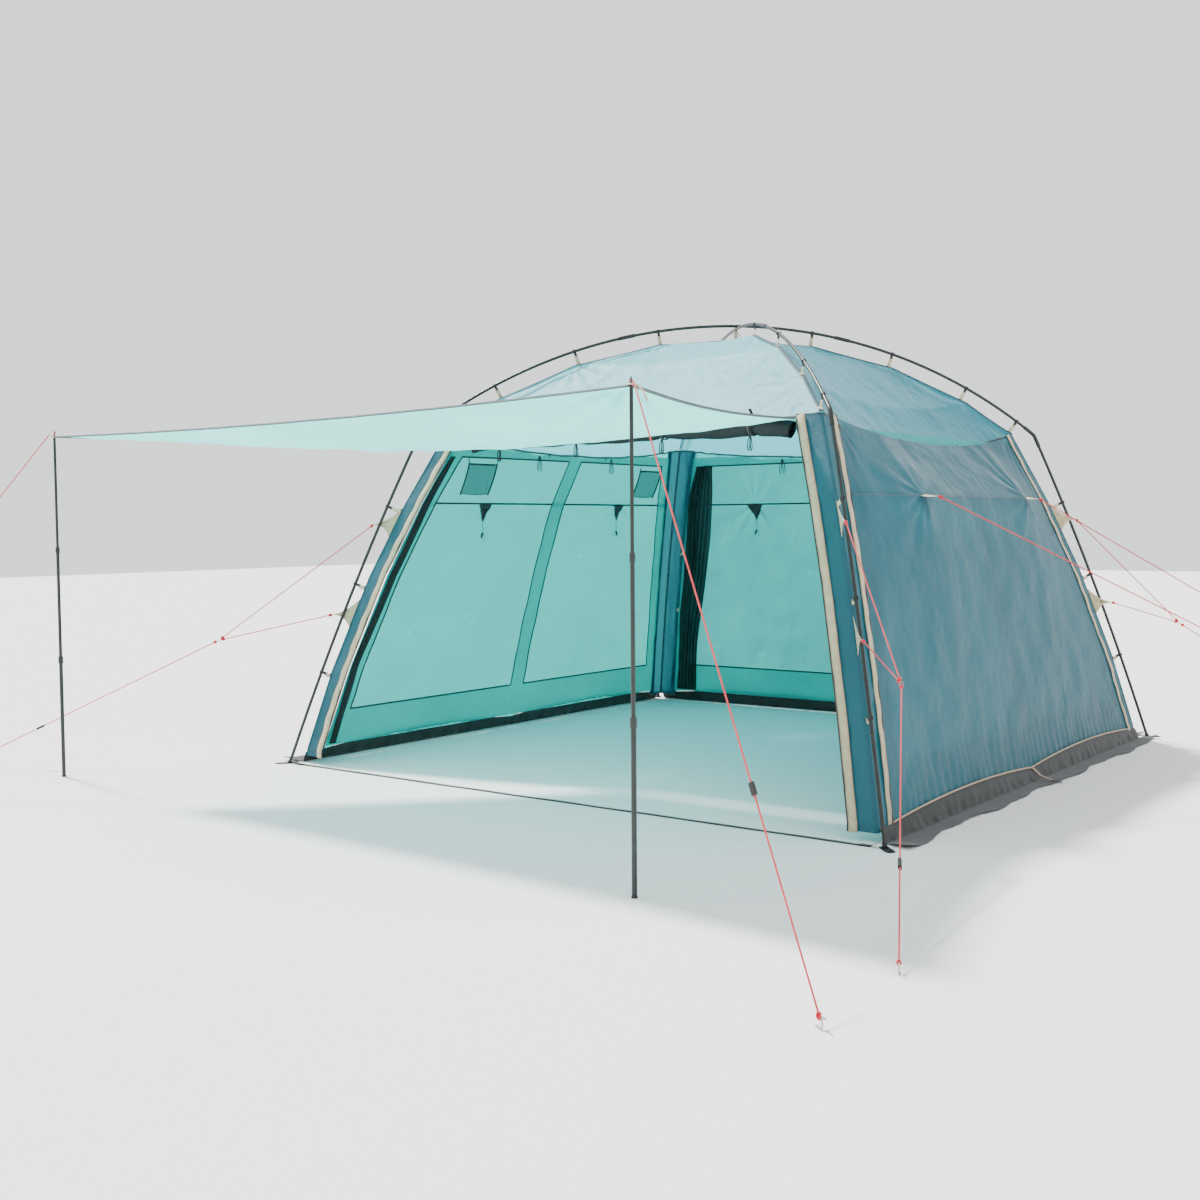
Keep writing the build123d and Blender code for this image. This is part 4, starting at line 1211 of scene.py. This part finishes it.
def make_awning():
    # The awning's colour carries painted light for the sun shining through it.
    cloth = surface("awning_cloth_painted_light", awning_shape, 190, 260, MAT["awning"])
    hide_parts("awning_sheet")
    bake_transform(cloth)
    outer = [awning_edge(u, 1.0) for u in np.linspace(-1, 1, 120)]
    right = [awning_edge(1, v) for v in np.linspace(0.02, 1, 80)]
    left = [awning_edge(-1, v) for v in np.linspace(0.02, 1, 80)]
    hems = many("awning_hems", [
        strip_shape(outer, Vector((0, 1, 0.6)), 0.016, 0.0028), strip_shape(right, Vector((1, 0, 0.5)), 0.014, 0.0028),
        strip_shape(left, Vector((1, 0, -0.5)), 0.014, 0.0028)], MAT["hem"])
    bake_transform(hems)
    patches, rings, tails = [], [], []
    for place, side in ((AWNING_RIGHT, 1), (AWNING_LEFT, -1)):
        top = Vector((*place, AWNING_Z + 0.0022))
        inner, outer_ring, faces = [], [], []
        for lift in (0.0, 0.0018):
            for step in range(28):
                turn = 2 * pi * step / 28
                inner.append(top + Vector((0.0075 * cos(turn), 0.0075 * sin(turn), lift)))
            for step in range(28):
                turn = 2 * pi * step / 28
                reach = 0.0165 / max(abs(cos(turn)), abs(sin(turn))) * 0.92
                outer_ring.append(top + Vector((reach * cos(turn), reach * sin(turn), lift)))
        points = inner + outer_ring
        for step in range(28):
            after = (step + 1) % 28
            faces.append((28 + step, 28 + after, 84 + after, 84 + step))
            faces.append((step, 56 + step, 56 + after, after))
            faces.append((56 + step, 84 + step, 84 + after, 56 + after))
            faces.append((28 + step, 0 + step, 0 + after, 28 + after))
        patches.append((points, faces))
        ring = [top + Vector((0.0082 * cos(turn), 0.0082 * sin(turn), 0.0024)) for turn in np.linspace(0, 2 * pi, 28, endpoint=False)]
        rings.append(tube_shape(ring, 0.0013, 8, closed=True))
    corner = Vector((*AWNING_RIGHT, AWNING_Z))
    toward = Vector((0.55, 0.60, 0))
    tails.append(strip_shape([corner + Vector((0.014, 0.006, 0.003)), corner + toward * 0.030 + UP * 0.001,
                              corner + toward * 0.052 - UP * 0.020, corner + toward * 0.068 - UP * 0.052],
                             Vector((-0.6, 0.55, 0)), 0.025, 0.0018))
    patch = many("awning_corner_patches", patches, MAT["beige"], smooth=False)
    eyelet = many("awning_eyelets", rings, MAT["steel"])
    tail = many("awning_corner_tail", tails, MAT["beige"])
    finish_piece(patch, body="awning", replaces=["awning_corners"])
    finish_piece(eyelet, body="awning")
    finish_piece(tail, body="awning")


# ---- Finish of the CAD pieces ----
FINISHES = {
    "leg_pole": "pole", "roof_pole": "pole", "pole_sleeves": "pole", "awning_pole": "pole", "shoulder_elbows": "pole",
    "corner_feet": "steel_dark", "shock_cords": "rubber", "pole_clips": "black", "guy_slider": "black",
    "guy_rings": "steel", "ground_pegs": "steel", "zip_slider": "zip",
}


def finish_cad():
    for name, node in NODES.items():
        for start, finish in FINISHES.items():
            if name.startswith(start):
                node.data.materials.clear()
                node.data.materials.append(MAT[finish])
                sharpen(node)


def sharpen(node):
    """Smooth shading on round faces, with the hard edges kept."""
    node.data.polygons.foreach_set("use_smooth", [True] * len(node.data.polygons))
    if hasattr(node.data, "set_sharp_from_angle"):
        node.data.set_sharp_from_angle(angle=radians(35))


# ---- Build ----
make_camera()
make_light()
make_floor()
make_materials()
make_guys()
make_roof()
for wall_name, wall_angle in WALLS.items():
    make_wall(wall_name, wall_angle)
make_corners()
make_zips()
make_skirts()
make_strap()
make_webbing()
make_tabs()
make_inner()
make_pockets()
make_door()
make_curtains()
make_awning()
finish_cad()
